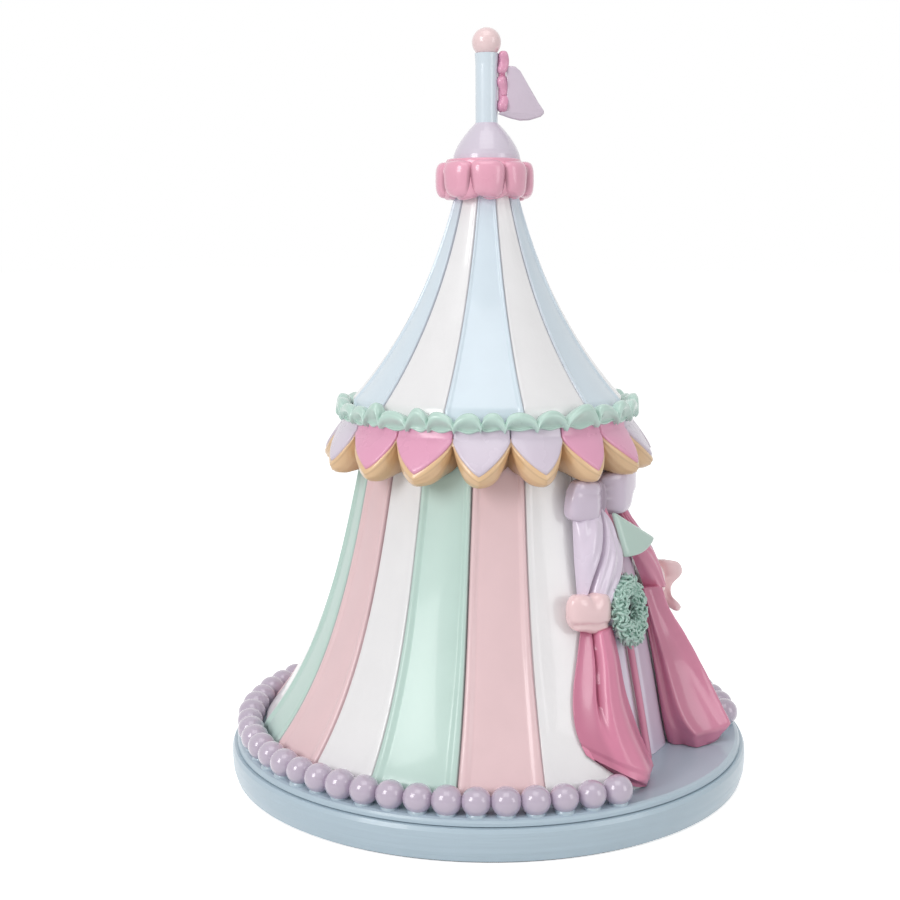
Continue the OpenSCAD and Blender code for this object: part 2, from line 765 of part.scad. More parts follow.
bow_r = cloth_in_r(bow_z) + 2.7;
knot_r = bow_r + 0.6;
knot_low = bow_z - 1.5;
knot_puff = 2.4;

module bow_loop(side) {
    color(lilac) puffed([[bow_r, side * 7.6, bow_z + 0.6], [bow_r, side * 7.6, bow_z - 1.6],
        [bow_r + 0.8, side * 24.5, bow_z + 2.4], [bow_r + 0.8, side * 25.5, bow_z - 2]], 2.3);
}

module bow_left() {
    bow_loop(-1);
}

module bow_right() {
    bow_loop(1);
}

module bow_knot() {
    color(lilac) puffed([[knot_r, 0, bow_z + 0.9], [knot_r + 0.5, -1, bow_z], [knot_r, 0, knot_low]],
        knot_puff);
}

// A three-cornered flag that hangs from the bow, swung towards the right
module door_pennant() {
    thick = 0.9;
    r = cloth_in_r(bow_z - 12) + cloth_t + thick + seat;
    top_z = knot_low - knot_puff - thick - seat;
    color(mint) puffed([[knot_r, 0, top_z], [r + 1.6, -3, bow_z - 15.6], [r + 3, 12.5, bow_z - 13]], thick);
}

// ---- Drive plate, hub and spindle ----

module drive_plate() {
    color("dimgray") translate([0, 0, plate_z]) difference() {
        cylinder(r = plate_r, h = plate_t);
        translate([0, 0, -1]) cylinder(r = hub_r + fit / 2, h = plate_t + 2);
        for (i = [0:5]) translate(at((hub_flange_r + ledge_in_r) / 2, i * 60, -1))
            cylinder(r = sound_hole_r, h = plate_t + 2);
        for (i = [0:3]) translate(at(plate_screw_ring, 45 + 90 * i, -1))
            cylinder(r = plate_screw_r + fit, h = plate_t + 2);
    }
}

// A pan-head screw with a cross slot, its head's underside at z = 0 and its shank upwards
module screw(r, len) {
    head_h = r * 1.1;
    slot = [r * 0.4, r * 2.2, head_h];
    difference() {
        union() {
            cylinder(r = r, h = len);
            translate([0, 0, -head_h]) cylinder(r = r * 2, h = head_h);
        }
        for (a = [0, 90]) rotate([0, 0, a]) translate([-slot[0] / 2, -slot[1] / 2, -head_h * 1.5]) cube(slot);
    }
}

module plate_screws() {
    color("silver") for (i = [0:3]) translate(at(plate_screw_ring, 45 + 90 * i, plate_z))
        screw(plate_screw_r, plate_t + ledge_t * 0.8 - 0.2);
}

hub_flange_t = 2;
nut_h = 2.2;
spindle_top = ledge_h + 1.5;

module drive_hub() {
    color("gold") difference() {
        union() {
            translate([0, 0, plate_z - hub_flange_t]) cylinder(r = hub_flange_r, h = hub_flange_t);
            translate([0, 0, plate_z - hub_flange_t]) cylinder(r = hub_r, h = hub_flange_t + plate_t + 1);
        }
        translate([0, 0, plate_z - hub_flange_t - 1]) cylinder(r = spindle_r + fit / 2, h = plate_t + 6);
    }
}

module lock_nut() {
    color("silver") translate([0, 0, plate_z - hub_flange_t - nut_h]) difference() {
        cylinder(r = spindle_r * 2, h = nut_h, $fn = 6);
        translate([0, 0, -1]) cylinder(r = spindle_r + fit / 2, h = nut_h + 2);
    }
}

module spindle() {
    color("silver") union() {
        translate([0, 0, barrel_top]) cylinder(r = spindle_r * 2, h = 1.2);
        translate([0, 0, barrel_top]) cylinder(r = spindle_r, h = spindle_top - barrel_top);
    }
}

// ---- Spring barrel and winding ----

module spring_barrel() {
    rim_h = barrel_wall;
    tooth_w = crown_m * PI * 0.36;
    color("gold") union() {
        difference() {
            translate([0, 0, barrel_z]) cylinder(r = barrel_r, h = barrel_h);
            translate([0, 0, barrel_z + barrel_wall])
                cylinder(r = barrel_r - barrel_wall, h = barrel_h - barrel_wall - rim_h);
            translate([0, 0, barrel_z - 1]) cylinder(r = arbor_r + run, h = barrel_h);
            translate([0, 0, barrel_top - rim_h - 0.5]) cylinder(r = crown_in_r, h = rim_h + 1);
        }
        for (i = [0:crown_n - 1]) rotate([0, 0, i * 360 / crown_n]) translate([crown_in_r + 0.1, 0, barrel_top - 0.2])
            rotate([90, 0, 90]) linear_extrude(height = barrel_r - crown_in_r - 0.2)
                polygon([[-tooth_w / 2, 0], [tooth_w / 2, 0], [tooth_w / 2, 0.3],
                    [tooth_w / 4, crown_tooth_h + 0.2], [-tooth_w / 4, crown_tooth_h + 0.2], [-tooth_w / 2, 0.3]]);
    }
}

module barrel_cover() {
    color("gold") translate([0, 0, barrel_top - barrel_wall])
        cylinder(r = crown_in_r - fit / 2, h = barrel_wall);
}

// The mainspring, let down: a flat spiral strip between the arbor and the barrel's wall
module mainspring() {
    strip = 0.3;
    turns = 9;
    points = 22;
    r0 = arbor_r + run + 0.3;
    r1 = barrel_r - barrel_wall - strip - 0.1;
    last = turns * points;
    function spiral(i, extra) = (r0 + (r1 - r0) * i / last + extra)
        * [cos(360 * i / points), -sin(360 * i / points)];
    color("silver") translate([0, 0, barrel_z + barrel_wall + 0.2])
        linear_extrude(height = barrel_h - 2 * barrel_wall - 0.5)
            polygon(concat([for (i = [0:last]) spiral(i, 0)], [for (i = [last:-1:0]) spiral(i, strip)]));
}

module winding_arbor() {
    top_z = barrel_top - barrel_wall - 0.4;
    color("silver") union() {
        translate([0, 0, key_top + fit]) cylinder(r = arbor_r, h = top_z - key_top - fit);
        translate([0, 0, key_top - key_thread_h]) cylinder(r = key_thread_r, h = key_thread_h + 1);
    }
}

module ratchet_wheel() {
    root_r = ratchet_r - 0.8;
    color("silver") translate([0, 0, bed_top + ratchet_gap]) difference() {
        linear_extrude(height = ratchet_t) polygon([for (i = [0:ratchet_n - 1], k = [1, 0])
            let (a = 360 / ratchet_n * (i - k * 0.12)) (k == 0 ? ratchet_r : root_r) * [cos(a), sin(a)]]);
        translate([0, 0, -1]) cylinder(r = arbor_r, h = ratchet_t + 2);
    }
}

// The click: a leaf spring from a stud on the bedplate to the ratchet wheel's teeth. It lets the
// wheel turn anticlockwise, seen from above, which winds the spring.
module click_spring() {
    tip_r = ratchet_r + 0.1;
    stud_x = -12.6;
    stud_y = 9;
    stud_r = 1.1;
    color("silver") translate([0, 0, bed_top]) mirror([0, 1, 0]) union() {
        translate([stud_x, stud_y, 0]) cylinder(r = stud_r, h = ratchet_t + 2 * ratchet_gap);
        linear_extrude(height = ratchet_t) polygon([[stud_x, stud_y + 0.4], [stud_x, stud_y - 0.4],
            [-tip_r * 0.82, tip_r * 0.62], [-tip_r * 0.5, tip_r * 0.88], [-tip_r * 0.52, tip_r * 0.93],
            [-tip_r * 0.84, tip_r * 0.72]]);
    }
}

module winding_key() {
    low = key_lift;
    wing_r = key_h / 2;
    wing_x = key_w / 2 - wing_r;
    mid_z = low + wing_r;
    color("silver") difference() {
        union() {
            translate([0, 0, low + key_h * 0.6]) cylinder(r = key_stem_r, h = key_top - low - key_h * 0.6);
            translate([-wing_x, -key_t / 2, mid_z - wing_r * 0.5]) cube([2 * wing_x, key_t, wing_r * 1.3]);
            for (x = [-wing_x, wing_x]) translate([x, key_t / 2, mid_z]) rotate([90, 0, 0])
                cylinder(r = wing_r, h = key_t);
        }
        for (x = [-wing_x, wing_x]) translate([x, key_t, mid_z]) rotate([90, 0, 0])
            cylinder(r = wing_r * 0.45, h = 2 * key_t);
        translate([0, 0, key_top - key_thread_h - 2 * fit])
            cylinder(r = key_thread_r + fit / 2, h = key_thread_h + 1);
    }
}

// ---- Bedplate and its screws ----

bed_x0 = -15.5;
bed_x1 = gov_right_x + 2.4;
bed_y0 = comb_back_y - 0.5;
bed_y1 = worm_y + 5;
bed_limit_r = 41.3;

module bedplate() {
    color("silver") translate([0, 0, deck_h]) difference() {
        intersection() {
            translate([bed_x0, bed_y0, 0]) cube([bed_x1 - bed_x0, bed_y1 - bed_y0, bed_t]);
            cylinder(r = bed_limit_r, h = bed_t);
        }
        translate([0, 0, -1]) cylinder(r = arbor_r + run, h = bed_t + 2);
        for (p = deck_screw_at) translate([p[0], p[1], -1]) cylinder(r = deck_screw_r, h = bed_t + 2);
    }
}

module deck_screws() {
    color("silver") for (p = deck_screw_at) translate([p[0], p[1], deck_h - deck_t])
        screw(deck_screw_r, deck_t + bed_t - 0.1);
}

// ---- Music cylinder ----

cyl_arbor_r = 1;
gov_arbor_r = 0.6;
bracket_t = 1.2;
right_bracket_x = worm_wheel_x;

module music_cylinder() {
    color("gold") difference() {
        bar_x(cyl_x, 0, cyl_z, cyl_r, cyl_len);
        bar_x(cyl_x - 1, 0, cyl_z, cyl_arbor_r, cyl_len + 2);
    }
}

// The pins: each track has three, set round the cylinder by a plain rule
module cylinder_pins() {
    pin_r = 0.2;
    pitch = cyl_len / comb_n;
    color("silver") for (i = [0:comb_n - 1], j = [0:2]) translate([cyl_x + pitch * (i + 0.5), 0, cyl_z])
        rotate([i * 50 + j * 120 + (i % 3) * 15, 0, 0]) translate([0, 0, cyl_r]) cylinder(r = pin_r, h = pin_h);
}

module cylinder_arbor() {
    pinion_len = 2;
    color("silver") union() {
        bar_x(pinion_x - 0.4, 0, cyl_z, cyl_arbor_r, right_bracket_x + bracket_t + 0.4 - pinion_x + 0.4);
        translate([pinion_x, 0, cyl_z]) rotate([0, 90, 0]) linear_extrude(height = pinion_len)
            rotate([0, 0, 180 / pinion_n]) toothed(pinion_n, pinion_r + crown_m * 0.85,
                pinion_r - crown_m * 1.15, 0.11, 0.26);
    }
}

module cylinder_wheel() {
    color("gold") translate([wheel_x, 0, cyl_z]) rotate([0, 90, 0]) difference() {
        linear_extrude(height = 1) rotate([0, 0, wheel_turn])
            toothed(wheel_n, wheel_r + train_m * 0.8, wheel_r - train_m * 1.2, 0.1, 0.26);
        translate([0, 0, -1]) cylinder(r = cyl_arbor_r, h = 3);
    }
}

// A bearing post on the bedplate, with its hole at the cylinder's axis
module bearing_post(x, y0, y1) {
    difference() {
        union() {
            translate([x, y0, bed_top]) cube([bracket_t, y1 - y0, cyl_z - bed_top]);
            bar_x(x, 0, cyl_z, 2, bracket_t);
        }
        bar_x(x - 1, 0, cyl_z, cyl_arbor_r + run, bracket_t + 2);
    }
}

module cylinder_brackets() {
    color("silver") {
        bearing_post(left_bracket_x, -3, 3);
        bearing_post(right_bracket_x, -4, 2);
    }
}

// ---- Comb ----

module comb_riser() {
    color("silver") difference() {
        translate([cyl_x - 0.8, comb_back_y, bed_top])
            cube([cyl_len + 1.6, comb_clamp, cyl_z - comb_t / 2 - bed_top]);
        for (x = comb_screw_x) translate([x, comb_screw_y, cyl_z - 6]) cylinder(r = comb_screw_r, h = 8);
    }
}

module comb() {
    pitch = cyl_len / comb_n;
    slit = 0.22;
    color("lightsteelblue") translate([0, 0, cyl_z - comb_t / 2]) difference() {
        translate([cyl_x, comb_back_y, 0]) cube([cyl_len, comb_clamp + comb_len, comb_t]);
        for (i = [1:comb_n - 1]) translate([cyl_x + pitch * i - slit / 2, comb_back_y + comb_clamp + 0.5
            + comb_len * 0.3 * i / comb_n, -1]) cube([slit, comb_len + 1, comb_t + 2]);
        for (x = comb_screw_x) translate([x, comb_screw_y, -1]) cylinder(r = comb_screw_r + fit, h = comb_t + 2);
    }
}

module comb_screws() {
    color("silver") for (x = comb_screw_x) translate([x, comb_screw_y, cyl_z + comb_t / 2])
        rotate([180, 0, 0]) screw(comb_screw_r, comb_t + 4);
}

// ---- Governor: pinion, worm wheel, worm and fan ----

worm_shaft_r = 0.5;
arm_t = 1;
foot_h = 1.5;

module governor_frame() {
    back_y = worm_y + 2.4;
    plate_t = 0.8;
    right_t = 1;
    front_y = gov_y - 3;
    color("silver") difference() {
        union() {
            for (v = [[gov_left_x, plate_t], [gov_right_x, right_t]]) {
                translate([v[0], front_y, bed_top]) cube([v[1], 6, gov_z - bed_top]);
                bar_x(v[0], gov_y, gov_z, 1.8, v[1]);
            }
            translate([gov_left_x, front_y, bed_top]) cube([gov_right_x + right_t - gov_left_x, back_y + 1
                - front_y, foot_h]);
            translate([worm_x - 2, back_y, bed_top]) cube([4, 1, gov_arm_z + arm_t - bed_top]);
            translate([worm_x - 2, worm_y - 1.6, gov_arm_z]) cube([4, back_y + 1.4 - worm_y + 1.2, arm_t]);
        }
        bar_x(gov_left_x - 1, gov_y, gov_z, gov_arbor_r + run, gov_right_x - gov_left_x + 4);
        translate([worm_x, worm_y, bed_top - 1]) cylinder(r = worm_shaft_r + run, h = 30);
    }
}

module governor_wheel() {
    color("gold") {
        bar_x(gov_left_x + 0.05, gov_y, gov_z, gov_arbor_r, gov_right_x + 0.9 - gov_left_x);
        translate([wheel_x - 0.2, gov_y, gov_z]) rotate([0, 90, 0]) linear_extrude(height = 1.4)
            rotate([0, 0, gov_pinion_turn]) toothed(gov_pinion_n, gov_pinion_r + train_m * 0.75,
                gov_pinion_r - train_m * 1.2, 0.08, 0.24);
        translate([worm_wheel_x, gov_y, gov_z]) rotate([0, 90, 0]) linear_extrude(height = 1)
            rotate([0, 0, worm_wheel_turn]) toothed(worm_wheel_n, worm_wheel_r + train_m * 0.6,
                worm_wheel_r - train_m * 1.1, 0.07, 0.2);
    }
}

// The worm: a round shank swept off its axis as it climbs, which makes one long thread
module worm() {
    len = worm_turns * worm_lead;
    color("silver") union() {
        translate([worm_x, worm_y, gov_z - len / 2])
            linear_extrude(height = len, twist = -360 * worm_turns, slices = 16 * worm_turns, $fn = 16)
                rotate([0, 0, worm_turn]) translate([worm_wave, 0]) circle(r = worm_r - worm_wave, $fn = 16);
        translate([worm_x, worm_y, bed_top + 0.1])
            cylinder(r = worm_shaft_r, h = fan_z + fan_h - bed_top - 0.3);
    }
}

fan_z = gov_arm_z + arm_t + 0.4;

module fan() {
    blade_t = 0.4;
    color("lightgray") translate([worm_x, worm_y, fan_z]) difference() {
        union() {
            cylinder(r = worm_shaft_r + 0.8, h = fan_h);
            translate([-fan_r, -blade_t / 2, 0]) cube([2 * fan_r, blade_t, fan_h]);
        }
        translate([0, 0, -1]) cylinder(r = worm_shaft_r, h = fan_h + 2);
    }
}

base_housing();
felt_ring();
glide_ring();
platform();
beads();
tent_wall();
valance();
petals_lilac();
petals_pink();
frill();
roof();
collar();
top_cap();
flagpole();
ball_finial();
flag();
flag_hoist();
door_flap_left();
door_flap_right();
door_trim();
wreath();
drape_left();
drape_right();
skirt_left();
skirt_right();
tie_left();
tie_right();
bow_left();
bow_right();
bow_knot();
door_pennant();
drive_plate();
plate_screws();
drive_hub();
lock_nut();
spindle();
spring_barrel();
barrel_cover();
mainspring();
winding_arbor();
ratchet_wheel();
click_spring();
winding_key();
bedplate();
deck_screws();
music_cylinder();
cylinder_pins();
cylinder_arbor();
cylinder_wheel();
cylinder_brackets();
comb_riser();
comb();
comb_screws();
governor_frame();
governor_wheel();
worm();
fan();
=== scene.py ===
"""Dresses the wind-up circus tent in hand-painted resin: striped wall and roof, scalloped valance,
gathered frill, beads, curtains, bow and wreath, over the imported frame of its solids.

Lengths are millimetres, which become metres when a mesh is made. The stage is in metres.
Angles are degrees around the pole, from the doorway (-Y) towards +X.
"""

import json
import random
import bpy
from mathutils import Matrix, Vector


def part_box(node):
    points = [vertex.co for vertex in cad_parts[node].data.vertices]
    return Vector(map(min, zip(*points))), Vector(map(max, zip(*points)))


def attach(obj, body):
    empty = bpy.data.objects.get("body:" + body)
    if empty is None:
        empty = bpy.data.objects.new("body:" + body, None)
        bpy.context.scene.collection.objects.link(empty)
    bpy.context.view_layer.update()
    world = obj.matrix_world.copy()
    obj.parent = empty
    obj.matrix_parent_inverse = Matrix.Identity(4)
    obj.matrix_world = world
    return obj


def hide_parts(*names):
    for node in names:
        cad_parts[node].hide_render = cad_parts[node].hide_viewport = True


bl_info = {
    "name": "Circus Tent Music Box", "version": (1, 0, 0), "blender": (4, 5, 0),
    "location": "View3D > Sidebar > Tent",
    "description": "Builds the finish of a painted resin circus tent on a turntable",
    "category": "Add Mesh",
}

from math import atan, cos, degrees, exp, pi, radians, sin, sqrt, tan, tau

import bmesh
import bpy
from bpy.props import FloatProperty, FloatVectorProperty, IntProperty, PointerProperty
from mathutils import Euler, Matrix, Vector, noise

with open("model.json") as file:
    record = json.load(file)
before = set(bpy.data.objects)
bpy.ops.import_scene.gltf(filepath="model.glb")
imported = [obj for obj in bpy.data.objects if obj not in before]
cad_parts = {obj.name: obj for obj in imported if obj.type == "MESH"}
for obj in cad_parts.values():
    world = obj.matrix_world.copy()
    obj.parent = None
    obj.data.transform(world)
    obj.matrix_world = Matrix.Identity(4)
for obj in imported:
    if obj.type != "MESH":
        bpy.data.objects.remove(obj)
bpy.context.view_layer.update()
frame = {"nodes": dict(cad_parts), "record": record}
MM = 0.001


# ---- The tent's own measures, worked out from the frame ----


def low(node, axis=2):
    """Lowest coordinate of a CAD node along an axis, in millimetres."""
    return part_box(node)[0][axis] / MM


def top(node, axis=2):
    """Highest coordinate of a CAD node along an axis, in millimetres."""
    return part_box(node)[1][axis] / MM


PLAT_TOP = top("platform")
PLAT_R = top("platform", 0)
WALL_TOP = top("tent_wall")
FOOT_R = top("tent_wall", 0)
WALL_T = 3.0
# The wall is a cone, with a flare added at its foot that fades away upwards
CONE_R = 48.6
CONE_SLOPE = 0.154
FLARE = 21.5
FLARE_LEN = 27
DOOR_HALF = 17.5
DOOR_FOOT_R = 52.9
# Angles of the wall panels' edges, from the right jamb round to the left one: uneven, as laid by hand
PANEL_EDGES = [17.5, 38.3, 59, 79.8, 100.5, 121.3, 142, 162.8, 183.5, 204.3]
PANEL_EDGES += [225, 241.5, 259.5, 276, 297.6, 318.4, 342.5]
# How far each edge near the doorway drifts from the top to the foot
PANEL_DRIFT = {13: 0.8, 14: -0.9, 15: -3.2}
PANELS = len(PANEL_EDGES) - 1
# Edges of the roof's panels
ROOF_EDGES = [18, 48, 78, 108, 138, 168, 198, 228, 257.5, 287, 319, 347.7, 378]

VALANCE_TOP = top("valance")
VALANCE_LOW = low("valance")
VALANCE_R = top("valance", 0)
VALANCE_TOP_R = 41.6
SCALLOPS = 16
SCALLOP_A = 360 / SCALLOPS
SCALLOP_TURN = -11
# How far the scallops are drawn together towards the doorway
SCALLOP_DRAW = 10.3

FRILL_LOW = low("frill")
FRILL_TOP = top("frill")
EAVE_R = 39.4
EAVE_Z = WALL_TOP + 9.6
ROOF_TOP = top("roof")
ROOF_TOP_R = 9.7
ROOF_LEN = 47.3
ROOF_PANELS = len(ROOF_EDGES) - 1

BEAD_R = (top("beads") - PLAT_TOP + 0.35) / 2
BEAD_RING_R = PLAT_R - 3.8
BEAD_FIRST = 33.3
BEAD_PITCH = 6.1

# Angle of the side that faces the camera
FRONT = -56

TIE_Z = (low("tie_left") + top("tie_left")) / 2
BOW_Z = (low("bow_left") + top("bow_left")) / 2
FLAP_TOP = top("door_flap_left")


def wall_r(z):
    """Radius of the striped panels at height z."""
    rise = z - PLAT_TOP
    return min(FOOT_R, CONE_R + FLARE * exp(-rise / FLARE_LEN) - CONE_SLOPE * rise)


def door_r(z):
    """Radius of the wall at the back of the doorway."""
    share = (z - PLAT_TOP) / (WALL_TOP - PLAT_TOP)
    return DOOR_FOOT_R + (wall_r(WALL_TOP) - 0.4 - DOOR_FOOT_R) * share


def flap_r(z):
    """Radius of the door flaps' outside."""
    return door_r(z) + 1.7


def cloth_r(z):
    """Radius on which the curtains and the bow lie."""
    return max(wall_r(z), flap_r(z)) + 0.3


def roof_r(z):
    """Radius of the roof at height z."""
    height = ROOF_TOP - EAVE_Z
    end = exp(-height / ROOF_LEN)
    share = (exp(-(z - EAVE_Z) / ROOF_LEN) - end) / (1 - end)
    return ROOF_TOP_R + (EAVE_R - 0.1 - ROOF_TOP_R) * share


def at(r, a, z):
    """The point at radius r, angle a from the doorway, and height z."""
    t = radians(a)
    return Vector((r * sin(t), -r * cos(t), z))


def mix(a, b, t):
    """The value at t on the way from a at 0 to b at 1."""
    return a + (b - a) * t


def spaced(first, last, count):
    """Values from first to last in this many even steps, with both ends."""
    return [mix(first, last, k / count) for k in range(count + 1)]


def smooth(t):
    """A soft step from 0 to 1 as t goes from 0 to 1."""
    t = max(0.0, min(1.0, t))
    return t * t * (3 - 2 * t)


def bell(x, width):
    """A bell curve: 1 at x 0, and small beyond its width."""
    return exp(-((x / width) ** 2))


def curve(table, x):
    """A smooth curve through (x, value) pairs, read at x."""
    if x <= table[0][0]:
        return table[0][1]
    if x >= table[-1][0]:
        return table[-1][1]
    k = max(i for i in range(len(table) - 1) if table[i][0] <= x)
    (x0, y0), (x1, y1) = table[k], table[k + 1]
    before = table[k - 1] if k else (2 * x0 - x1, 2 * y0 - y1)
    after = table[k + 2] if k + 2 < len(table) else (2 * x1 - x0, 2 * y1 - y0)
    m0 = (y1 - before[1]) / (x1 - before[0]) * (x1 - x0)
    m1 = (after[1] - y0) / (after[0] - x0) * (x1 - x0)
    t = (x - x0) / (x1 - x0)
    return (
        (2 * t**3 - 3 * t**2 + 1) * y0
        + (t**3 - 2 * t**2 + t) * m0
        + (3 * t**2 - 2 * t**3) * y1
        + (t**3 - t**2) * m1
    )


def wobble(x, y=0.0, seed=0.0):
    """Smooth noise from -1 to 1, for hand-made unevenness."""
    return noise.noise(Vector((x, y, seed * 7.31 + 0.5)))


# ---- Colours and materials ----


def linear(hex_colour):
    """An sRGB hex colour as linear red, green and blue."""
    parts = [int(hex_colour[i : i + 2], 16) / 255 for i in (1, 3, 5)]
    return tuple(c / 12.92 if c <= 0.04045 else ((c + 0.055) / 1.055) ** 2.4 for c in parts)


def paint(label, words, hex_colour):
    """A colour the user can change."""
    colour = linear(hex_colour)
    return FloatVectorProperty(
        name=label, description=words, subtype="COLOR", size=3, min=0, max=1, default=colour
    )


def length(label, words, default, lowest, highest):
    """A length in millimetres that the user can change."""
    span = {"default": default * MM, "min": lowest * MM, "max": highest * MM}
    return FloatProperty(name=label, description=words, unit="LENGTH", **span)


def number(label, words, default, lowest, highest):
    """A count that the user can change."""
    return IntProperty(name=label, description=words, default=default, min=lowest, max=highest)


class TentPaints(bpy.types.PropertyGroup):
    """Colours of the painted pieces"""

    white: paint("White", "White stripes of the wall and the roof", "#f0eff0")
    rose: paint("Rose", "Rose stripes of the wall", "#ebcbce")
    mint: paint("Mint", "Mint stripes of the wall", "#c3ddd4")
    sky: paint("Sky blue", "Blue panels of the roof", "#d8e6f0")
    pole: paint("Pole blue", "Flagpole", "#dbe8f1")
    base: paint("Base blue", "Base and turntable", "#b6c9d5")
    bead: paint("Bead lilac", "Beads around the turntable", "#c3b5c8")
    lilac: paint("Petal lilac", "Lilac petals of the valance", "#d9cddc")
    pink: paint("Petal pink", "Pink petals of the valance", "#e8a3c1")
    tan: paint("Tan", "Scalloped edge of the valance", "#eac496")
    frill: paint("Frill mint", "Frill at the eaves", "#c3e0d5")
    collar: paint("Collar pink", "Puffed collar under the cap", "#eea9c0")
    cap: paint("Cap lilac", "Cap at the foot of the pole", "#d7cddc")
    flag: paint("Flag lilac", "Flag", "#d3c5d4")
    ruffle: paint("Ruffle pink", "Ruffle along the flag's edge", "#e29dbb")
    ball: paint("Ball pink", "Ball on the pole", "#f2d5d6")
    drape: paint("Drape lilac", "Upper curtains and door flaps", "#e4d7e9")
    bow: paint("Bow lilac", "Bow above the doorway", "#d9cadd")
    curtain: paint("Curtain pink", "Lower curtains and the lining", "#dd88a6")
    salmon: paint("Salmon", "Tie-backs", "#f8d5d7")
    wreath: paint("Wreath mint", "Wreath", "#b2d3c7")
    pennant: paint("Pennant mint", "Pennant below the bow", "#bbd4ca")


class TentSizes(bpy.types.PropertyGroup):
    """Sizes and counts of what is laid over the solids"""

    lip_height: length("Lip height", "Height of the wall panels' rolled edges", 0.85, 0, 2)
    lip_width: length("Lip width", "Width of the wall panels' rolled edges", 3, 0.5, 5)
    groove_depth: length("Groove depth", "Depth of the grooves between panels", 0.3, 0, 1.5)
    petal_thickness: length("Petal thickness", "Height of the petals above the scallops", 0.75, 0.1, 1.5)
    frill_waves: number("Frill waves", "Number of waves in the frill at the eaves", 31, 8, 40)
    frill_thickness: length("Frill thickness", "Thickness of the frill's ribbon", 1.5, 0.5, 2.5)
    beads: number("Beads", "Number of beads around the turntable", 50, 1, 52)
    puffs: number("Puffs", "Number of puffs in the collar", 8, 5, 10)
    curls: number("Curls", "Number of curled strands in the wreath", 430, 20, 800)


def add(tree, kind, inputs=None, **settings):
    """Adds a node with its settings. Each input takes a value, or a link from a socket or a node."""
    new = tree.nodes.new(kind)
    for key, value in settings.items():
        setattr(new, key, value)
    for key, value in (inputs or {}).items():
        if isinstance(value, bpy.types.Node):
            value = value.outputs[0]
        if isinstance(value, bpy.types.NodeSocket):
            tree.links.new(value, new.inputs[key])
        else:
            new.inputs[key].default_value = value
    return new


def emptied_tree(owner):
    """The node tree of a new material or world, without the nodes it starts with."""
    owner.use_nodes = True
    owner.node_tree.nodes.clear()
    return owner.node_tree


def shade(colour, factor):
    """A lighter or darker colour, with its alpha."""
    return (colour[0] * factor, colour[1] * factor, colour[2] * factor, 1)


def painted_resin(name, colour, gloss=0.3, strokes=0.0, ripple=0.12, dark=0.6, coat=0.6):
    """Cast polyresin under brushed acrylic and a clear coat. The paint is a little uneven and its surface
    keeps faint brush strokes. In creases and recesses a painted shade darkens it, by a point attribute."""
    material = bpy.data.materials.new(name)
    tree = emptied_tree(material)
    place = add(tree, "ShaderNodeTexCoord").outputs["Object"]
    # Patches of thinner and thicker paint, about 9 mm across
    patches = add(tree, "ShaderNodeTexNoise", {"Scale": 110, "Detail": 3, "Vector": place})
    tones = {0: patches, 6: shade(colour, 0.95), 7: shade(colour, 1.03)}
    tint = add(tree, "ShaderNodeMix", tones, data_type="RGBA").outputs[2]
    # Painted shade: where shade would fall, the colour goes towards a deeper tone of itself, by the point
    # attribute
    crevice = add(tree, "ShaderNodeAttribute", attribute_name="crevice").outputs["Fac"]
    deep = (colour[0] * dark**1.3, colour[1] * dark**1.5, colour[2] * dark**1.4, 1)
    tint_with_painted_shade = add(tree, "ShaderNodeMix", {0: crevice, 6: tint, 7: deep}, data_type="RGBA").outputs[2]
    # Brush strokes run up and down, about 0.5 mm wide and 8 mm long
    grain = add(tree, "ShaderNodeMapping", {"Scale": (1, 1, 0.08), "Vector": place})
    bristle = add(tree, "ShaderNodeTexNoise", {"Scale": 900, "Detail": 2, "Vector": grain})
    swell = add(tree, "ShaderNodeTexNoise", {"Scale": 260, "Detail": 1, "Vector": place})
    brushing = {"Strength": strokes, "Distance": 0.12 * MM, "Height": bristle}
    brushed = add(tree, "ShaderNodeBump", brushing)
    unevenness = {"Strength": ripple, "Distance": 0.35 * MM, "Height": swell, "Normal": brushed}
    relief = add(tree, "ShaderNodeBump", unevenness)
    spread = {"To Min": gloss - 0.05, "To Max": gloss + 0.08, "Value": patches}
    sheen = add(tree, "ShaderNodeMapRange", spread)
    finish = {"IOR": 1.5, "Coat Weight": coat, "Coat Roughness": 0.07}
    finish.update({"Base Color": tint_with_painted_shade, "Roughness": sheen, "Normal": relief})
    add(tree, "ShaderNodeOutputMaterial", {"Surface": add(tree, "ShaderNodeBsdfPrincipled", finish)})
    return material


def ridged_resin(name, colour):
    """The base's painted resin, with the fine level ridges that its turned mould left."""
    material = painted_resin(name, colour, gloss=0.34, ripple=0.08, coat=0.3)
    tree = material.node_tree
    kinds = {node.bl_idname: node for node in tree.nodes}
    place = kinds["ShaderNodeTexCoord"].outputs["Object"]
    normal = kinds["ShaderNodeBsdfPrincipled"].inputs["Normal"]
    # Ridges about 0.7 mm apart, uneven in height, and slowly drifting around the base
    level = add(tree, "ShaderNodeMapping", {"Scale": (0.03, 0.03, 1), "Vector": place})
    rings = add(tree, "ShaderNodeTexNoise", {"Scale": 1100, "Detail": 1.5, "Vector": level})
    under = normal.links[0].from_socket
    ridging = {"Strength": 0.55, "Distance": 0.3 * MM, "Height": rings, "Normal": under}
    ridges = add(tree, "ShaderNodeBump", ridging)
    tree.links.new(ridges.outputs[0], normal)
    return material


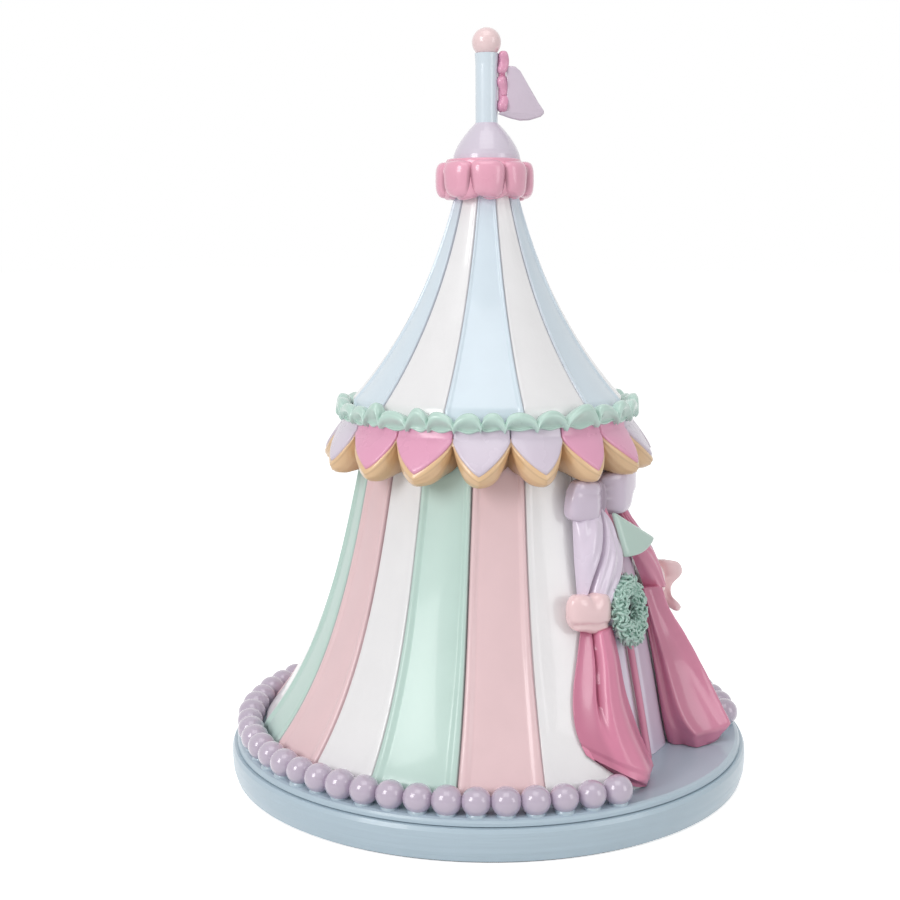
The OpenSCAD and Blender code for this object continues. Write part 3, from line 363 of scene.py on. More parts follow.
def plain(name, hex_colour, roughness, metallic=0.0, ior=1.5, scale=400, relief=0.1):
    """A machined, moulded or pressed part of the movement, with a fine uneven surface."""
    material = bpy.data.materials.new(name)
    tree = emptied_tree(material)
    colour = linear(hex_colour)
    place = add(tree, "ShaderNodeTexCoord").outputs["Object"]
    fine = add(tree, "ShaderNodeTexNoise", {"Scale": scale, "Detail": 4, "Vector": place})
    tones = {0: fine, 6: shade(colour, 0.88), 7: shade(colour, 1.06)}
    tint = add(tree, "ShaderNodeMix", tones, data_type="RGBA").outputs[2]
    spread = {"To Min": roughness - 0.06, "To Max": roughness + 0.1, "Value": fine}
    sheen = add(tree, "ShaderNodeMapRange", spread)
    finish = {"Metallic": metallic}
    if not metallic:
        finish["IOR"] = ior
    bumps = add(tree, "ShaderNodeBump", {"Strength": relief, "Distance": 0.05 * MM, "Height": fine})
    finish.update({"Base Color": tint, "Roughness": sheen, "Normal": bumps})
    add(tree, "ShaderNodeOutputMaterial", {"Surface": add(tree, "ShaderNodeBsdfPrincipled", finish)})
    return material


PAINTED = {}


def resin(which, **settings):
    """The painted resin of one of the tent's paints, made once for each finish."""
    key = (which, tuple(sorted(settings.items())))
    if key not in PAINTED:
        colour = tuple(getattr(bpy.context.scene.tent_paints, which))
        label = f"painted_resin_{which}" + (f"_{len(PAINTED)}" if settings else "")
        PAINTED[key] = painted_resin(label, colour, **settings)
    return PAINTED[key]


# ---- Mesh helpers ----


def turns(count):
    """Angles in radians, evenly spaced around a full turn."""
    return [tau * i / count for i in range(count)]


def skin(rings, caps=True):
    """Points and faces of a skin through closed rings of points, all with as many points."""
    n = len(rings[0])
    points = [p for ring in rings for p in ring]
    faces = []
    for j in range(len(rings) - 1):
        for i in range(n):
            k = (i + 1) % n
            faces.append((j * n + i, j * n + k, (j + 1) * n + k, (j + 1) * n + i))
    if caps:
        faces.append(tuple(range(n - 1, -1, -1)))
        faces.append(tuple(len(points) - n + i for i in range(n)))
    return points, faces


def link(name, mesh):
    """A new object with this mesh, in the scene."""
    piece = bpy.data.objects.new(name, mesh)
    bpy.context.scene.collection.objects.link(piece)
    return piece


def make(name, points, faces, materials, slots=None, crevice=None, sharp=80):
    """A mesh object in metres from points in millimetres, shaded smooth up to the sharp angle."""
    mesh = bpy.data.meshes.new(name)
    mesh.from_pydata([tuple(c * MM for c in p) for p in points], [], faces)
    for material in materials:
        mesh.materials.append(material)
    if slots:
        mesh.polygons.foreach_set("material_index", slots)
    # Painted shade for each point, which the painted resin darkens by
    if crevice:
        layer = mesh.attributes.new("crevice", "FLOAT", "POINT")
        layer.data.foreach_set("value", crevice)
    work = bmesh.new()
    work.from_mesh(mesh)
    bmesh.ops.remove_doubles(work, verts=work.verts, dist=1e-7)
    bmesh.ops.dissolve_degenerate(work, edges=work.edges, dist=1e-7)
    bmesh.ops.recalc_face_normals(work, faces=work.faces)
    for face in work.faces:
        face.smooth = True
    limit = radians(sharp)
    for edge in work.edges:
        edge.smooth = len(edge.link_faces) != 2 or edge.calc_face_angle(0) < limit
    work.to_mesh(mesh)
    work.free()
    mesh.validate()
    return link(name, mesh)


def rounded_block(cuts, half, power):
    """Points and faces of a rounded block: a ball at power 2, nearer a box above it."""
    work = bmesh.new()
    bmesh.ops.create_cube(work, size=2)
    bmesh.ops.subdivide_edges(work, edges=work.edges[:], cuts=cuts, use_grid_fill=True)
    points = []
    for vert in work.verts:
        # Even out the grid before it is rounded, so the corners don't bunch
        d = Vector([tan(c * pi / 4) for c in vert.co])
        size = sum(abs(c) ** power for c in d) ** (1 / power)
        points.append(Vector([d[k] / size * half[k] for k in range(3)]))
    work.verts.index_update()
    faces = [tuple(v.index for v in face.verts) for face in work.faces]
    work.free()
    return points, faces


def strewing_tree(name, sockets):
    """A new geometry tree with a template and these other inputs, as name and kind."""
    tree = bpy.data.node_groups.new(name, "GeometryNodeTree")
    ours = [("Template", "Object"), ("Count", "Int"), ("Seed", "Int"), ("Material", "Material")]
    for label, kind in ours + sockets:
        tree.interface.new_socket(label, in_out="INPUT", socket_type="NodeSocket" + kind)
    tree.interface.new_socket("Geometry", in_out="OUTPUT", socket_type="NodeSocketGeometry")
    return tree, add(tree, "NodeGroupInput").outputs


def copies(tree, inputs, place, **pose):
    """Copies of the template at the places, turned and scaled by the pose, as real geometry."""
    points = add(tree, "GeometryNodePoints", {"Count": inputs["Count"], "Position": place})
    template = add(tree, "GeometryNodeObjectInfo", {"Object": inputs["Template"]}).outputs["Geometry"]
    strewn = add(tree, "GeometryNodeInstanceOnPoints", {"Points": points, "Instance": template, **pose})
    return add(tree, "GeometryNodeRealizeInstances", {0: strewn})


def close_tree(tree, inputs, geometry):
    """Paints the tree's result and puts it out."""
    coated = add(tree, "GeometryNodeSetMaterial", {"Geometry": geometry, "Material": inputs["Material"]})
    add(tree, "NodeGroupOutput", {0: coated})
    return tree


def ring_tree(name):
    """A node tree that sets copies of a template around the pole, a little uneven in size."""
    labels = ("First angle", "Pitch", "Ring radius", "Height", "Smallest", "Largest")
    tree, inputs = strewing_tree(name, [(label, "Float") for label in labels])
    index = add(tree, "GeometryNodeInputIndex")
    stepped = {0: index, 1: inputs["Pitch"], 2: inputs["First angle"]}
    angle = add(tree, "ShaderNodeMath", stepped, operation="MULTIPLY_ADD")
    sine = add(tree, "ShaderNodeMath", {0: angle}, operation="SINE")
    cosine = add(tree, "ShaderNodeMath", {0: angle}, operation="COSINE")
    x = add(tree, "ShaderNodeMath", {0: sine, 1: inputs["Ring radius"]}, operation="MULTIPLY")
    forward = add(tree, "ShaderNodeMath", {0: cosine, 1: inputs["Ring radius"]}, operation="MULTIPLY")
    y = add(tree, "ShaderNodeMath", {0: forward, 1: -1.0}, operation="MULTIPLY")
    place = add(tree, "ShaderNodeCombineXYZ", {"X": x, "Y": y, "Z": inputs["Height"]})
    turn = add(tree, "ShaderNodeCombineXYZ", {"Z": angle})
    span = {2: inputs["Smallest"], 3: inputs["Largest"], "Seed": inputs["Seed"]}
    size = add(tree, "FunctionNodeRandomValue", span, data_type="FLOAT").outputs[1]
    return close_tree(tree, inputs, copies(tree, inputs, place, Rotation=turn, Scale=size))


# In radians
GOLDEN_ANGLE = 2.39996


def wreath_tree(name):
    """A node tree that strews a curled strand over a ring, each copy turned another way."""
    labels = ("Ring radius", "Tube radius", "Tube depth", "Tilt", "Turn")
    tree, inputs = strewing_tree(name, [(label, "Float") for label in labels] + [("Middle", "Vector")])
    index = add(tree, "GeometryNodeInputIndex")
    share = add(tree, "ShaderNodeMath", {0: index, 1: inputs["Count"]}, operation="DIVIDE")
    around = add(tree, "ShaderNodeMath", {0: share, 1: tau}, operation="MULTIPLY")
    # Each strand goes on round the tube by the golden angle, so none line up
    across = add(tree, "ShaderNodeMath", {0: index, 1: GOLDEN_ANGLE}, operation="MULTIPLY")
    out = add(tree, "ShaderNodeMath", {0: across}, operation="COSINE")
    up = add(tree, "ShaderNodeMath", {0: across}, operation="SINE")
    sine = add(tree, "ShaderNodeMath", {0: around}, operation="SINE")
    cosine = add(tree, "ShaderNodeMath", {0: around}, operation="COSINE")
    spread = {0: out, 1: inputs["Tube radius"], 2: inputs["Ring radius"]}
    reach = add(tree, "ShaderNodeMath", spread, operation="MULTIPLY_ADD")
    x = add(tree, "ShaderNodeMath", {0: cosine, 1: reach}, operation="MULTIPLY")
    y = add(tree, "ShaderNodeMath", {0: sine, 1: reach}, operation="MULTIPLY")
    z = add(tree, "ShaderNodeMath", {0: up, 1: inputs["Tube depth"]}, operation="MULTIPLY")
    place = add(tree, "ShaderNodeCombineXYZ", {"X": x, "Y": y, "Z": z})
    span = {0: (0, 0, 0), 1: (tau, tau, tau), "Seed": inputs["Seed"]}
    turn = add(tree, "FunctionNodeRandomValue", span, data_type="FLOAT_VECTOR")
    real = copies(tree, inputs, place, Rotation=turn)
    tilt = add(tree, "ShaderNodeCombineXYZ", {"X": inputs["Tilt"], "Z": inputs["Turn"]})
    where = {"Geometry": real, "Rotation": tilt, "Translation": inputs["Middle"]}
    return close_tree(tree, inputs, add(tree, "GeometryNodeTransform", where))


def as_mesh(piece):
    """A plain mesh of a piece with its modifiers applied."""
    graph = bpy.context.evaluated_depsgraph_get()
    return bpy.data.meshes.new_from_object(piece.evaluated_get(graph), depsgraph=graph)


def settle(piece, name):
    """Keeps the result of a piece's one modifier for good."""
    mesh = as_mesh(piece)
    piece.modifiers.clear()
    rough = piece.data
    piece.data = mesh
    bpy.data.meshes.remove(rough)
    mesh.name = name
    return piece


def finish_smooth(piece, levels):
    """Subdivides a piece's mesh for good."""
    modifier = piece.modifiers.new("Smooth", "SUBSURF")
    modifier.levels = levels
    modifier.render_levels = levels
    settle(piece, piece.name)


def grow(name, tree, values):
    """Runs a node tree with these inputs and keeps its result as a plain mesh object."""
    holder = link(name, bpy.data.meshes.new(name + "_holder"))
    modifier = holder.modifiers.new("Copies", "NODES")
    modifier.node_group = tree
    for item in tree.interface.items_tree:
        if item.item_type == "SOCKET" and item.in_out == "INPUT":
            modifier[item.identifier] = values[item.name]
    settle(holder, name)
    discard(values["Template"])
    return holder


def ring_of(name, template, material, count, first, pitch, radius, height, sizes, seed):
    """Copies of a template around the pole, as one mesh. Angles are in radians."""
    values = {"Template": template, "Count": count, "Seed": seed, "Material": material}
    values.update({"First angle": first, "Pitch": pitch})
    values.update({"Ring radius": radius * MM, "Height": height * MM})
    values.update({"Smallest": sizes[0], "Largest": sizes[1]})
    return grow(name, ring_tree(name + "_copies"), values)


def discard(piece):
    """Removes a piece and its mesh."""
    mesh = piece.data
    bpy.data.objects.remove(piece)
    bpy.data.meshes.remove(mesh)


def join(name, parts):
    """One object from several. The parts are then thrown away."""
    work = bmesh.new()
    materials = []
    for part in parts:
        ours = part.data.materials
        materials += [material for material in ours if material not in materials]
        start = len(work.faces)
        work.from_mesh(part.data)
        work.faces.ensure_lookup_table()
        for face in work.faces[start:]:
            face.material_index = materials.index(ours[face.material_index])
    mesh = bpy.data.meshes.new(name)
    work.to_mesh(mesh)
    work.free()
    for material in materials:
        mesh.materials.append(material)
    for part in parts:
        discard(part)
    return link(name, mesh)


def seat(piece, body, slot, *nodes):
    """Rides a finished piece on its body, in place of CAD nodes, which it hides. The slot is not used."""
    if nodes:
        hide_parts(*nodes)
    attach(piece, body)


# ---- Striped wall and roof ----


def panel_places(width, lip_w):
    """Places across a panel, in millimetres from its first edge: close together near both edges."""
    near = [0, 0.1, 0.22, 0.36, 0.52, 0.72, 0.95, 1.25, 1.55, 1.85, 2.15, 2.45, 2.75, 3.05, 3.4]
    near = [d * lip_w / 3 for d in near]
    return near + spaced(near[-1], width - near[-1], 5)[1:-1] + [width - d for d in reversed(near[1:])]


def lip_shape(x):
    """Height of a rolled edge at x, from 0 at the panel's edge to 1: steep outside, soft inside."""
    if x <= 0 or x >= 1:
        return 0.0
    crest = 0.42
    if x < crest:
        return sqrt(1 - (1 - x / crest) ** 2)
    return 0.5 + 0.5 * cos(pi * (x - crest) / (1 - crest))


def striped_ring(z, radius, edges, lips, lip_w, depth, seed):
    """One level of a striped shell: the angle and radius of each point, and how deep in a crease."""
    points = []
    dark = []
    for i, (first, last) in enumerate(zip(edges, edges[1:])):
        width = radians(last - first) * radius
        lip = lips[i % len(lips)]
        for d in panel_places(width, lip_w):
            edge = min(d, width - d)
            side = 0.0 if d < width / 2 else 1.0
            own = lip * (1 + 0.22 * wobble(z * 0.05, i * 2.3 + side, seed + 1))
            wide = lip_w * (1 + 0.1 * wobble(z * 0.04, i * 5.1 + side, seed + 2))
            relief = own * lip_shape((edge - 0.08) / wide) - 0.2 * own
            relief -= depth * bell(edge, 0.2)
            boundary = i + side
            shift = 0.3 * wobble(z * 0.03, (boundary % len(lips)) * 3.7 + boundary, seed)
            angle = mix(first, last, d / width) + degrees(shift * (1 - smooth(edge / 4)) / radius)
            points.append((angle, radius - 0.5 + relief))
            # Painted shade along the grooves at the panels' edges, deeper beside the raised rolled edges
            edge_shade_strength = 0.85 if lip > 0.3 else 0.25
            dark.append(edge_shade_strength * bell(edge, 0.32))
    return points, dark


class TENT_OT_wall(bpy.types.Operator):
    """Builds the striped wall, with its rolled panel edges and the doorway set back in it"""

    bl_idname = "tent.wall"
    bl_label = "Wall"

    def execute(self, context):
        sizes = context.scene.tent_sizes
        lip = sizes.lip_height / MM
        lip_w = sizes.lip_width / MM
        depth = sizes.groove_depth / MM
        # Colours run white, rose, mint from the panel on the left of the doorway
        order = [(PANELS - 1 - i) % 3 for i in range(PANELS)]
        lips = [0.12 * lip if k == 0 else lip for k in order]
        # The levels lie closer together at the foot, where the wall curves
        levels = [mix(PLAT_TOP, WALL_TOP, t**1.15) for t in spaced(0, 1, 60)]
        door = spaced(-DOOR_HALF, DOOR_HALF, 8)
        outer = []
        dark = []
        for z in levels:
            radius = wall_r(z)
            scale = lip_w * mix(0.75, 1.15, smooth((radius - 36) / 30))
            low_share = (WALL_TOP - z) / (WALL_TOP - PLAT_TOP) - 0.5
            edges = [a + PANEL_DRIFT.get(k, 0) * low_share for k, a in enumerate(PANEL_EDGES)]
            ring = [(a, door_r(z)) for a in door]
            striped, shadow = striped_ring(z, radius, edges, lips, scale, depth, 3)
            outer.append([at(r, a, z) for a, r in ring + striped])
            dark += [0.0] * len(ring) + shadow
        # Inside, the wall follows its outside, but for the ledge that the drive plate is screwed under
        cheek = 3.2
        ledge_low = top("drive_plate")
        ledge_top = ledge_low + 3
        ledge_r = top("drive_plate", 0) - 6
        inside = [(z, None) for z in (PLAT_TOP, 24, 38, ledge_low)]
        inside += [(ledge_low, ledge_r), (ledge_top, ledge_r)]
        inside += [(z, None) for z in (ledge_top, 70, 86, WALL_TOP)]
        inner = []
        plan = striped_ring(PLAT_TOP, FOOT_R, PANEL_EDGES, lips, lip_w, depth, 3)[0]
        first_edge = PANEL_EDGES[1]
        last_edge = PANEL_EDGES[-2]
        for z, reach in inside:
            ring = [(a * (DOOR_HALF + cheek) / DOOR_HALF, door_r(z) - WALL_T) for a in door]
            for a, _ in plan:
                if a < first_edge:
                    share = (a - DOOR_HALF) / (first_edge - DOOR_HALF)
                    a = mix(DOOR_HALF + cheek, first_edge, share)
                elif a > last_edge:
                    share = (a - last_edge) / (360 - DOOR_HALF - last_edge)
                    a = mix(last_edge, 360 - DOOR_HALF - cheek, share)
                ring.append((a, wall_r(z) - WALL_T))
            inner.append([at(reach or r, a, z) for a, r in ring])
        rings = outer + inner[::-1] + [outer[0]]
        points, faces = skin(rings, caps=False)
        n = len(outer[0])
        per_panel = (n - len(door)) // PANELS
        slots = []
        for face in faces:
            j, i = divmod(face[0], n)
            panel = (i - len(door)) // per_panel
            on_panel = j < len(outer) - 1 and i >= len(door)
            slots.append(order[panel] if on_panel else 0)
        crevice = dark + [0.0] * (len(points) - len(dark))
        white = resin("white", strokes=0.35, ripple=0.1)
        paints = [white, resin("rose", coat=0.25), resin("mint", coat=0.25)]
        piece = make("striped_wall", points, faces, paints, slots, crevice, sharp=70)
        seat(piece, "turntable", "tent_stripes", "tent_wall")
        return {"FINISHED"}


class TENT_OT_roof(bpy.types.Operator):
    """Builds the roof: blue panels with rolled edges between plain white ones"""

    bl_idname = "tent.roof"
    bl_label = "Roof"

    def execute(self, context):
        sizes = context.scene.tent_sizes
        lip = sizes.lip_height / MM * 0.7
        depth = sizes.groove_depth / MM * 0.8
        # White and blue panels take turns, from the white one to the right of the doorway's blue one
        lips = [0.1 * lip, lip]
        outer = []
        dark = []
        for z in spaced(EAVE_Z, ROOF_TOP, 44):
            radius = roof_r(z)
            lip_w = 0.7 + 1.3 * radius / EAVE_R
            fade = depth * min(1.0, radius / 16)
            ring, shadow = striped_ring(z, radius, ROOF_EDGES, lips, lip_w, fade, 9)
            outer.append([at(r, a, z) for a, r in ring])
            dark += shadow
        plan = striped_ring(EAVE_Z, EAVE_R, ROOF_EDGES, lips, 2.0, depth, 9)[0]

        def level(r, z):
            return [at(r, a, z) for a, _ in plan]

        inner_r = EAVE_R - WALL_T
        lid = 2.6
        under = [level(wall_r(WALL_TOP) - WALL_T, WALL_TOP), level(EAVE_R - 0.4, WALL_TOP)]
        inside = [level(roof_r(z) - WALL_T, z) for z in (ROOF_TOP - lid, 150, 135, 120)]
        inside += [level(inner_r, EAVE_Z), level(inner_r, WALL_TOP + 3)]
        inside += [level(wall_r(WALL_TOP) - WALL_T, WALL_TOP + 3)]
        neck = ROOF_TOP + 2.6
        crown = [level(ROOF_TOP_R - 0.9, neck), level(ROOF_TOP_R - 2.5, neck + 0.4)]
        crown += [level(0.01, neck + 0.4)]
        rings = [under[1]] + outer + crown
        rings += [level(0.01, ROOF_TOP - lid)] + inside + under
        points, faces = skin(rings, caps=False)
        n = len(plan)
        per_panel = n // ROOF_PANELS
        slots = []
        for face in faces:
            j, i = divmod(face[0], n)
            slots.append((i // per_panel + 1) % 2 if j <= len(outer) else 1)
        crevice = [0.0] * n + dark + [0.0] * (len(points) - n - len(dark))
        paints = [resin("sky"), resin("white", strokes=0.35, ripple=0.1)]
        piece = make("striped_roof", points, faces, paints, slots, crevice, sharp=70)
        seat(piece, "turntable", "roof_stripes", "roof")
        return {"FINISHED"}


# ---- Valance ----

PETAL_TIP = VALANCE_LOW + 3.9
LIP_LOW = VALANCE_LOW + 0.5
NOTCH_Z = VALANCE_TOP - 1.1
PETAL_TOP = VALANCE_TOP + 2.4
PETAL_SPAN = 0.985
# How far the tip of each scallop strays to a side, counted from the doorway: hand-laid petals
TIP_SHIFT = [3.4, 2, -0.8, 0.6, -0.4, 0.9, -0.7, 0.5, -0.6, 1.5, 6.5, 4, 0, -0.6, 0.5, 0.8]


def petal_low(u):
    """Lower edge of a petal: nearly straight shoulders that run down to a point."""
    side = min(1.0, abs(u) / PETAL_SPAN)
    return PETAL_TIP + (NOTCH_Z + 0.3 - PETAL_TIP) * (0.9 * side**1.22 + 0.1 * side**9)


def scallop_low(u):
    """Lowest line of the tan hem below the petal: a broad round."""
    return LIP_LOW + (NOTCH_Z - 1.6 - LIP_LOW) * min(1.0, abs(u)) ** 3


def scallop_r(u, z):
    """Radius of a scallop's face: it flares from the eaves, puffed across and sunk at the sides."""
    share = (VALANCE_TOP - z) / (VALANCE_TOP - LIP_LOW)
    if share < 0:
        return VALANCE_TOP_R + 0.4 * share * (VALANCE_TOP - LIP_LOW) * 0.5
    face = VALANCE_TOP_R + (VALANCE_R - VALANCE_TOP_R + 0.7) * share**0.85
    valley = 1.8 * abs(u) ** 5 * smooth(share * 2.5)
    return face - valley


def scallop_edge(k):
    """Angle of the notch before scallop k."""
    even = SCALLOP_TURN + k * SCALLOP_A
    return even - SCALLOP_DRAW * sin(radians(even))


def scallop_angle(k, u):
    """Angle of a point at u across scallop k, with the scallop's middle led astray."""
    shift = TIP_SHIFT[k % SCALLOPS] * (1 - abs(u) ** 1.5)
    return mix(scallop_edge(k), scallop_edge(k + 1), (u + 1) / 2) + shift


class TENT_OT_valance(bpy.types.Operator):
    """Builds the tan scallops of the valance as one thick, brushed band"""

    bl_idname = "tent.valance"
    bl_label = "Scallops"

    def execute(self, context):
        columns = 32
        rings = []
        dark = []
        for k in range(SCALLOPS * columns):
            u = -1 + 2 * (k % columns) / columns
            a = scallop_angle(k // columns, u)
            rim = petal_low(u) - 0.75 + 0.12 * wobble(k * 0.2, 4.2)
            hem = min(scallop_low(u) + 0.25 * wobble(k * 0.13, 1.7), rim - 0.5)
            # Painted shade in the notches between scallops
            notch = smooth((abs(u) - 0.9) / 0.1)
            section = []
            for z in spaced(VALANCE_TOP, rim, 8):
                section.append((scallop_r(u, z), z))
                dark.append(0.55 * notch)
            front = scallop_r(u, rim)
            deep = 1.9 + 0.42 * (rim - hem)
            # The hem rounds under, ribbed along its length by the brush
            for j, q in enumerate(spaced(0, 1, 14)[1:]):
                swing = q * pi / 2
                ribs = 0.13 * sin(q * 17 + 3 * wobble(k * 0.07, q * 2)) * sin(pi * q)
                z = mix(rim, hem, sin(swing) ** 1.1)
                section.append((front - deep * (1 - cos(swing)) + ribs, z))
                # Painted shade: in the notches, growing further under the hem, and a dark line just below
                # the rim
                dark.append(max(0.55 * notch, 0.3 * q * q) + (0.25 if j == 1 else 0))
            inner_z = VALANCE_LOW + 2 + 0.3 * (hem - LIP_LOW)
            wall = wall_r(inner_z) + 0.3
            section.append((mix(front - deep, wall, 0.5), mix(hem, inner_z, 0.4)))
            section.append((wall, inner_z))
            section.append((wall_r(WALL_TOP) + 0.3, WALL_TOP - 0.1))
            section.append((EAVE_R + 0.1, WALL_TOP - 0.1))
            section.append((EAVE_R + 0.1, VALANCE_TOP))
            # Painted shade where the hem tucks in and meets the wall
            dark += [0.5, 0.9, 0.0, 0.0, 0.0]
            rings.append([at(r, a, z) for r, z in section])
        points, faces = skin(rings + [rings[0]], caps=False)
        crevice = dark + dark[: len(rings[0])]
        # The tan takes a deeper painted shade than the other paints
        paint_tan = resin("tan", strokes=0.8, ripple=0.25, gloss=0.32, dark=0.45)
        piece = make("scallops", points, faces, [paint_tan], None, crevice, sharp=55)
        seat(piece, "turntable", "valance_tan", "valance")
        return {"FINISHED"}


def petal(context, k):
    """The raised petal of scallop k."""
    thick = context.scene.tent_sizes.petal_thickness / MM
    columns = 28
    rings = []
    for i in range(columns + 1):
        u = PETAL_SPAN * sin(pi / 2 * (-1 + 2 * i / columns))
        edge = petal_low(u) + 0.12 * wobble(u * 2, k * 3.1)
        face = []
        back = []
        for t in spaced(0, 1, 16):
            z = mix(PETAL_TOP, edge, t**0.85)
            side = (PETAL_SPAN - abs(u)) * VALANCE_R * radians(SCALLOP_A / 2)
            inset = min(1.0, min((z - edge) * 0.7, side) / 0.8)
            lift = thick * sqrt(max(0.0, 1 - (1 - inset) ** 2))
            r = scallop_r(u, z)
            a = scallop_angle(k, u)
            face.append(at(r + lift - 0.05, a, z))
            back.append(at(r - 0.4, a, z))
        rings.append(face + back[::-1])
    points, faces = skin(rings)
    which = "pink" if k % 4 in (0, 3) else "lilac"
    return make(f"petal_{k}", points, faces, [resin(which, gloss=0.26, coat=0.35)], sharp=60)


class TENT_OT_petals(bpy.types.Operator):
    """Lays the petals on the scallops, in pairs of pink and lilac"""

    bl_idname = "tent.petals"
    bl_label = "Petals"

    def execute(self, context):
        for name, slot, node, ours in (
            ("petals_of_pink", "petal_pink", "petals_pink", (0, 3)),
            ("petals_of_lilac", "petal_lilac", "petals_lilac", (1, 2)),
        ):
            petals = [petal(context, k) for k in range(SCALLOPS) if k % 4 in ours]
            seat(join(name, petals), "turntable", slot, node)
        return {"FINISHED"}


class TENT_OT_frill(bpy.types.Operator):
    """Gathers a mint ribbon into uneven waves around the eaves"""

    bl_idname = "tent.frill"
    bl_label = "Frill"

    def execute(self, context):
        sizes = context.scene.tent_sizes
        waves = sizes.frill_waves
        rope = sizes.frill_thickness / MM * 0.95
        generator = random.Random(11)
        spans = [generator.uniform(0.7, 1.35) for _ in range(waves)]
        total = sum(spans)
        middle = (FRILL_LOW + FRILL_TOP) / 2 + 1.1
        steps = 22
        rings = []
        dark = []
        start = 0.0
        for span in spans:
            tall = generator.uniform(0.75, 1.3)
            lean = generator.uniform(-0.9, 0.9)
            drop = generator.uniform(-0.3, 0.5)
            skew = generator.uniform(0.72, 1.4)
            size = 360 * span / total
            for s in range(steps):
                w = s / steps
                # Broad arches meet in narrow dips, where the ribbon doubles back
                arch = sin(pi * w**skew) ** 0.5
                dip = 1 - arch
                a = 360 * start / total + size * w
                ridge = middle - 2.5 + 3.7 * arch * mix(1, tall, arch)
                floor = mix(ridge - rope, FRILL_LOW + 1.5 - drop, arch)
                hollow = mix(ridge - rope, floor, 0.4)
                ring_r = VALANCE_TOP_R + 0.75 + 0.3 * dip
                ring = [(EAVE_R + 0.1, ridge + rope * 0.5)]
                # Painted shade where the ribbon meets the eaves
                shade_here = [0.2]
                for turn in (125, 95, 72, 54, 36, 12, -15, -45):
                    t = radians(turn)
                    # A shallow groove, with a little painted shade in it, sets off the ribbon's rolled rim
                    reach = rope * (1 - 0.16 * bell(turn - 36, 16))
                    ring.append((ring_r + reach * cos(t), ridge + reach * sin(t)))
                    shade_here.append(0.12 if turn == 36 else 0.0)
                ring.append((mix(ring_r + 0.5, EAVE_R + 2.7, arch**0.7), hollow))
                ring.append((mix(ring_r + 0.7, VALANCE_TOP_R + 0.5, arch), mix(hollow, floor, 0.55)))
                ring.append((VALANCE_TOP_R + 1.1, floor + 0.8))
                ring.append((VALANCE_TOP_R + 1.1, floor))
                ring.append((EAVE_R + 0.1, floor - 0.1))
                # Painted shade in the hollow under each arch, under the lip, and where the ribbon tucks
                # under the eaves
                shade_here += [0.34 * arch**2, 0.12 * arch**2, 0.0, 0.1, 0.4]
                rings.append([at(r, a + lean * arch * (z - middle) * 0.45, z) for r, z in ring])
                dark += shade_here
            start += span
        points, faces = skin(rings + [rings[0]], caps=False)
        dark += dark[: len(rings[0])]
        piece = make("gathered_frill", points, faces, [resin("frill", gloss=0.24)], None, dark)
        finish_smooth(piece, 1)
        seat(piece, "turntable", "frill_mint", "frill")
        return {"FINISHED"}


# ---- Finial ----

PUFF_MID = (low("collar") + top("collar")) / 2


class TENT_OT_collar(bpy.types.Operator):
    """Builds the collar: plump pads over a lower ring of folds"""

    bl_idname = "tent.collar"
    bl_label = "Collar"

    def execute(self, context):
        count = context.scene.tent_sizes.puffs
        pitch = tau / count
        pink = resin("collar", gloss=0.26)
        reach = top("collar", 0)

        def pad(name, half, mid_r, lean):
            points, faces = rounded_block(13, half, 3.4)
            shaped = []
            dark = []
            for p in points:
                # Painted shade at the pad's sides, in the gaps between neighbouring pads
                dark.append(0.95 * smooth((abs(p.x) / half[0] - 0.8) / 0.16))
                across = p.x * (1 + 0.1 * p.z / half[2])
                bend = p.x * p.x / (2 * mid_r)
                z = p.z + 0.35 * wobble(p.x * 0.2, p.z * 0.2, 5)
                shaped.append(Vector((across, p.y - mid_r + bend, z - lean * p.x)))
            return make(name, shaped, faces, [], None, dark)

        # The pads show their broad faces to the front, and the folds peek out between them
        template = pad("pad_template", (4.85, 3.2, 5.1), reach - 3.5, 0.04)
        first = radians(FRONT + 6)
        height = PUFF_MID - 0.15
        upper = ring_of("collar_pads", template, pink, count, first, pitch, 0, height, (0.97, 1.03), 4)
        template = pad("fold_template", (4.3, 2.3, 4.0), reach - 4.3, -0.25)
        first = radians(FRONT + 22)
        height = PUFF_MID - 1.7
        lower = ring_of("collar_folds", template, pink, count, first, pitch, 0, height, (0.96, 1.03), 9)
        core = make(
            "collar_core",
            *skin([[at(r, a, z) for a in range(0, 360, 10)] for r, z in (
                (ROOF_TOP_R - 0.7, ROOF_TOP + 0.6),
                (ROOF_TOP_R + 0.9, ROOF_TOP + 1.6),
                (ROOF_TOP_R + 0.9, PUFF_MID + 3),
                (ROOF_TOP_R + 1, top("collar") - 0.3),
                (ROOF_TOP_R + 0.6, top("collar") + 0.1),
                (8, top("collar") + 0.1),
            )]),
            [pink],
            sharp=60,
        )
        piece = join("collar_of_puffs", [upper, lower, core])
        # Set on a little off centre, by hand
        for vert in piece.data.vertices:
            vert.co += Vector((-0.5, 0.7, 0)) * MM
        seat(piece, "turntable", "collar_pink", "collar")
        return {"FINISHED"}


